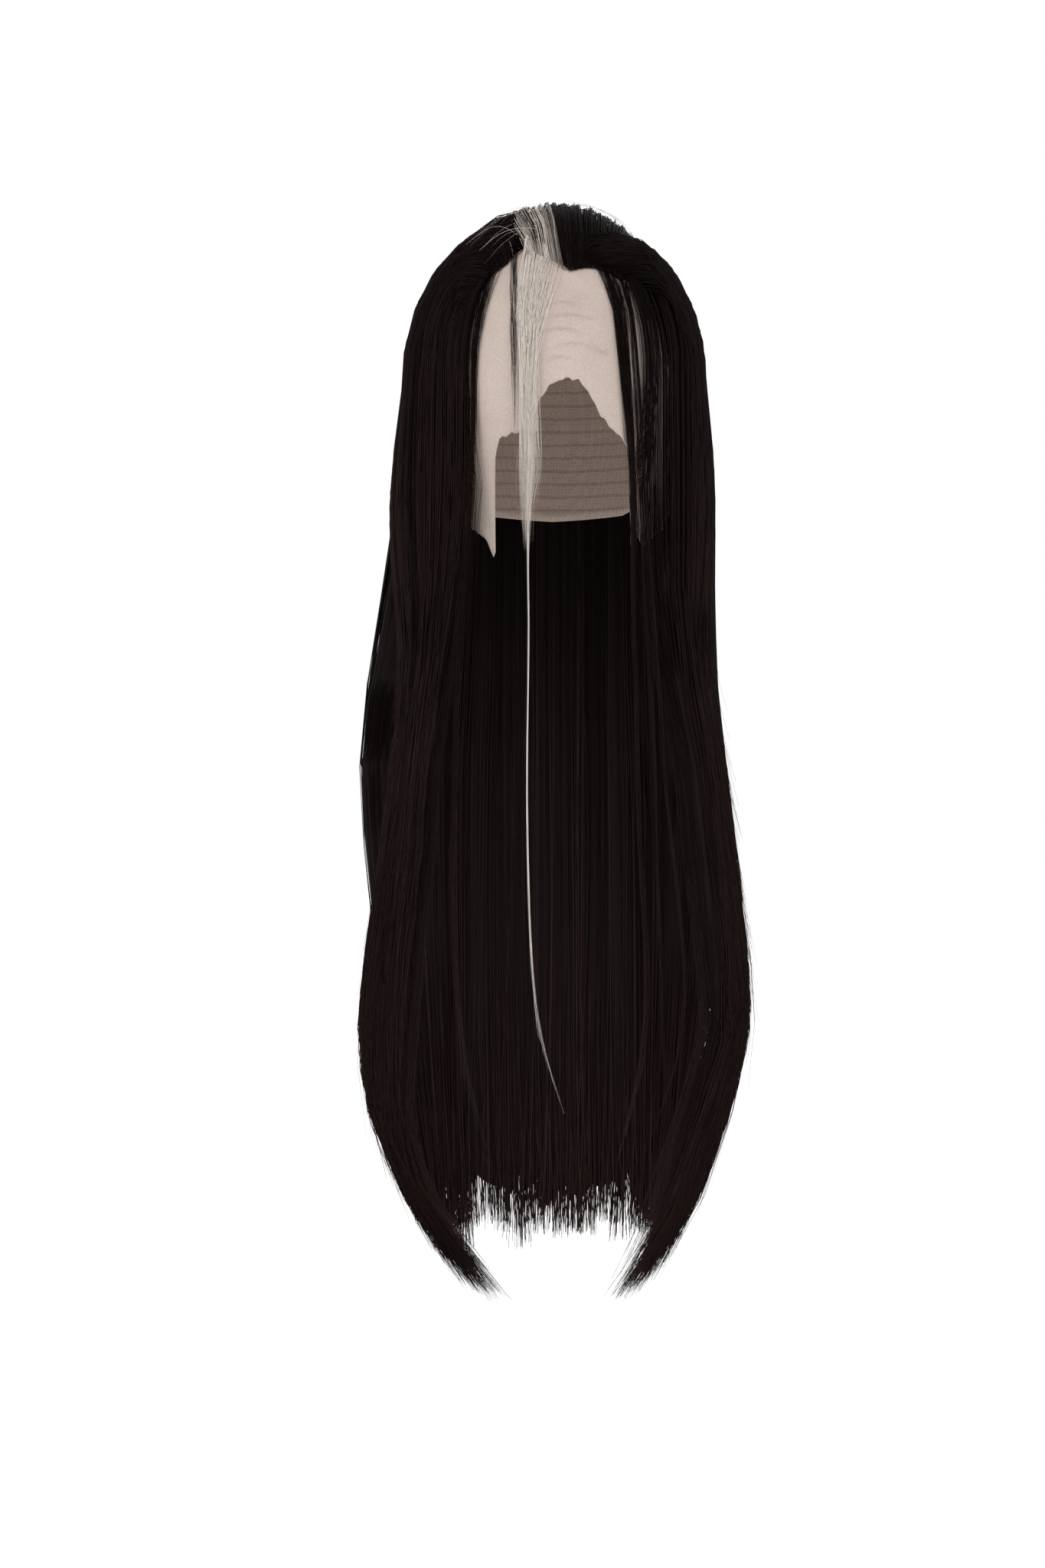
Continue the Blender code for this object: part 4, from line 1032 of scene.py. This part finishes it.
def make_lock(name, node, table, count, width, seed, narrow=1.0, spread=SOFT_EDGES, ends=LONG_ENDS, slant=0.0,
              tints=DARK_TINTS, look=dark_hair):
    """A loose lock of strands along its table's route, at a share of its width. spread and tints shape how
    the strands and their tints lie, and ends gives the first and last end as shares of the route."""
    rng = np.random.default_rng(seed)
    table = np.array(table) / 1000
    end = table[-1][0] * (ends[0] + (ends[1] - ends[0]) * rng.random(count) ** 0.6)
    share = np.linspace(0, 1, LOCK_STEPS)[None, :] ** 1.4
    at = table[0][0] + (end[:, None] - table[0][0]) * share
    centre, wide, reach, depth = smooth_columns(table, at)
    across = 2 * rng.beta(*spread, count) - 1
    across = across[:, None] + 0.30 * waves(share * 4, count, 2.5, rng) * share ** 0.5
    across = across + 0.4 * rng.normal(0, 1, (count, 1)) * share ** 6
    deep = rng.random(count)[:, None]
    x = HEAD_WIDTH * (centre + across * narrow * wide / 2)
    level = -HAIR_DROP * at - slant * across * np.clip(1 - 4 * share, 0, 1)
    back = np.maximum(front_reach(x, level, LOCK_CLEAR), HEAD_DEPTH * reach)
    forward = back + HEAD_WIDTH * depth * deep * np.sqrt(np.clip(1 - (across / 1.5) ** 2, 0.05, 1))
    radii = strand_radii(count, LOCK_STEPS, width / 2, rng, 0.5, 0.6)
    strand_piece(name, node, points_at(x, -forward, level), radii, rng.beta(*tints, count), look)


# Name, count, width of a strand, seed, share of the route's width, spread, ends, slant, tints, look
for name, *lock_row in (
    ("front_streak_lock_strands", 240, 0.00018, 41, 1.0, (0.9, 1.6), (0.27, 0.375), STREAK_ROOT_SLANT,
     PALE_TINTS, white_hair),
    ("front_streak_tail", 14, 0.00028, 50, 0.5, SOFT_EDGES, (0.88, 1.0), STREAK_ROOT_SLANT, PALE_TINTS,
     white_hair),
    ("front_streak_dark_strands", 6, 0.00016, 47, 0.9, (1, 4), (0.6, 0.8), STREAK_ROOT_SLANT),
):
    make_lock(name, "front_streak_lock", FRONT_STREAK_LOCK, *lock_row)
for node, *lock_row in (
    ("brow_lock", BROW_LOCK, 20, 0.00022, 42, 0.8, (4.0, 1.2), (0.7, 1.0)),
    ("temple_lock_left", TEMPLE_LOCK_LEFT, 46, 0.00028, 43, 1.5),
    ("temple_lock_right_1", TEMPLE_LOCK_RIGHT_1, 100, 0.00028, 44),
    ("temple_lock_right_2", TEMPLE_LOCK_RIGHT_2, 12, 0.00026, 45),
    ("temple_lock_right_3", TEMPLE_LOCK_RIGHT_3, 20, 0.00028, 46),
):
    make_lock(node + "_strands", node, *lock_row)
make_lock("temple_veil_right", None, TEMPLE_VEIL_RIGHT, 14, 0.00016, 48, ends=(0.4, 1.0))
make_lock("temple_veil_left", None, TEMPLE_VEIL_LEFT, 14, 0.00016, 49, ends=(0.4, 1.0))


# Each hair is tied into the lace with a tiny knot. Rows of brown knots show along the hairline, sparser
# outwards.
KNOT_RADIUS = 0.00055
KNOT_SPACING = 0.0014
# Distance of the row outside the cap's rim, share of its knots that are there
KNOT_ROWS = ((0.0008, 1.0), (0.0021, 0.9), (0.0034, 0.5))
KNOT_TURNS = ((-34.5, -21.0), (4.0, 38.0))
KNOT_STOPS = ((0.0, (0.030, 0.014, 0.010)), (1.0, (0.11, 0.055, 0.040)))


def knot_row(first, last, distance, kept, rng):
    """Short paths of one row of knots, which follows the cap's rim on the lace."""
    turn = np.linspace(first, last, 400)
    rim = wall_point(np.radians(turn), edge_level(CAP_RIM, turn), LACE_WALL)
    travel = np.concatenate([[0], np.cumsum(np.linalg.norm(np.diff(rim, axis=0), axis=1))])
    at = np.arange(KNOT_SPACING, travel[-1], KNOT_SPACING)
    at = at[rng.random(len(at)) < kept]
    at = at + rng.normal(0, 0.1 * KNOT_SPACING, len(at))
    place, along = (np.stack([np.interp(at, travel, side) for side in line.T], -1)
                    for line in (rim, unit(np.gradient(rim, axis=0))))
    down = unit(np.cross(along, unit(place + (0, 0, CROWN_HEIGHT))))
    middle = place + down * (distance + rng.normal(0, 0.0002, (len(at), 1)))
    return middle[:, None] + np.array([-0.7, 0, 0.7])[:, None] * KNOT_RADIUS * down[:, None]


rng = np.random.default_rng(50)
knots = np.concatenate([knot_row(first, last, distance, kept, rng) for first, last in KNOT_TURNS
                        for distance, kept in KNOT_ROWS])
knot_radii = KNOT_RADIUS * rng.uniform(0.6, 1.1, (len(knots), 1)) * np.array([[0.35, 1, 0.35]])
knot_brown = hair_material("knot_brown", KNOT_STOPS, 0, KNOT_STOPS[0][1], 0, Roughness=0.6, IOR=1.3,
                           Specular_Tint=(1, 1, 1, 1))
strand_piece("hairline_knots", None, knots, knot_radii, rng.random(len(knots)), (knot_brown, "dark_hair"))
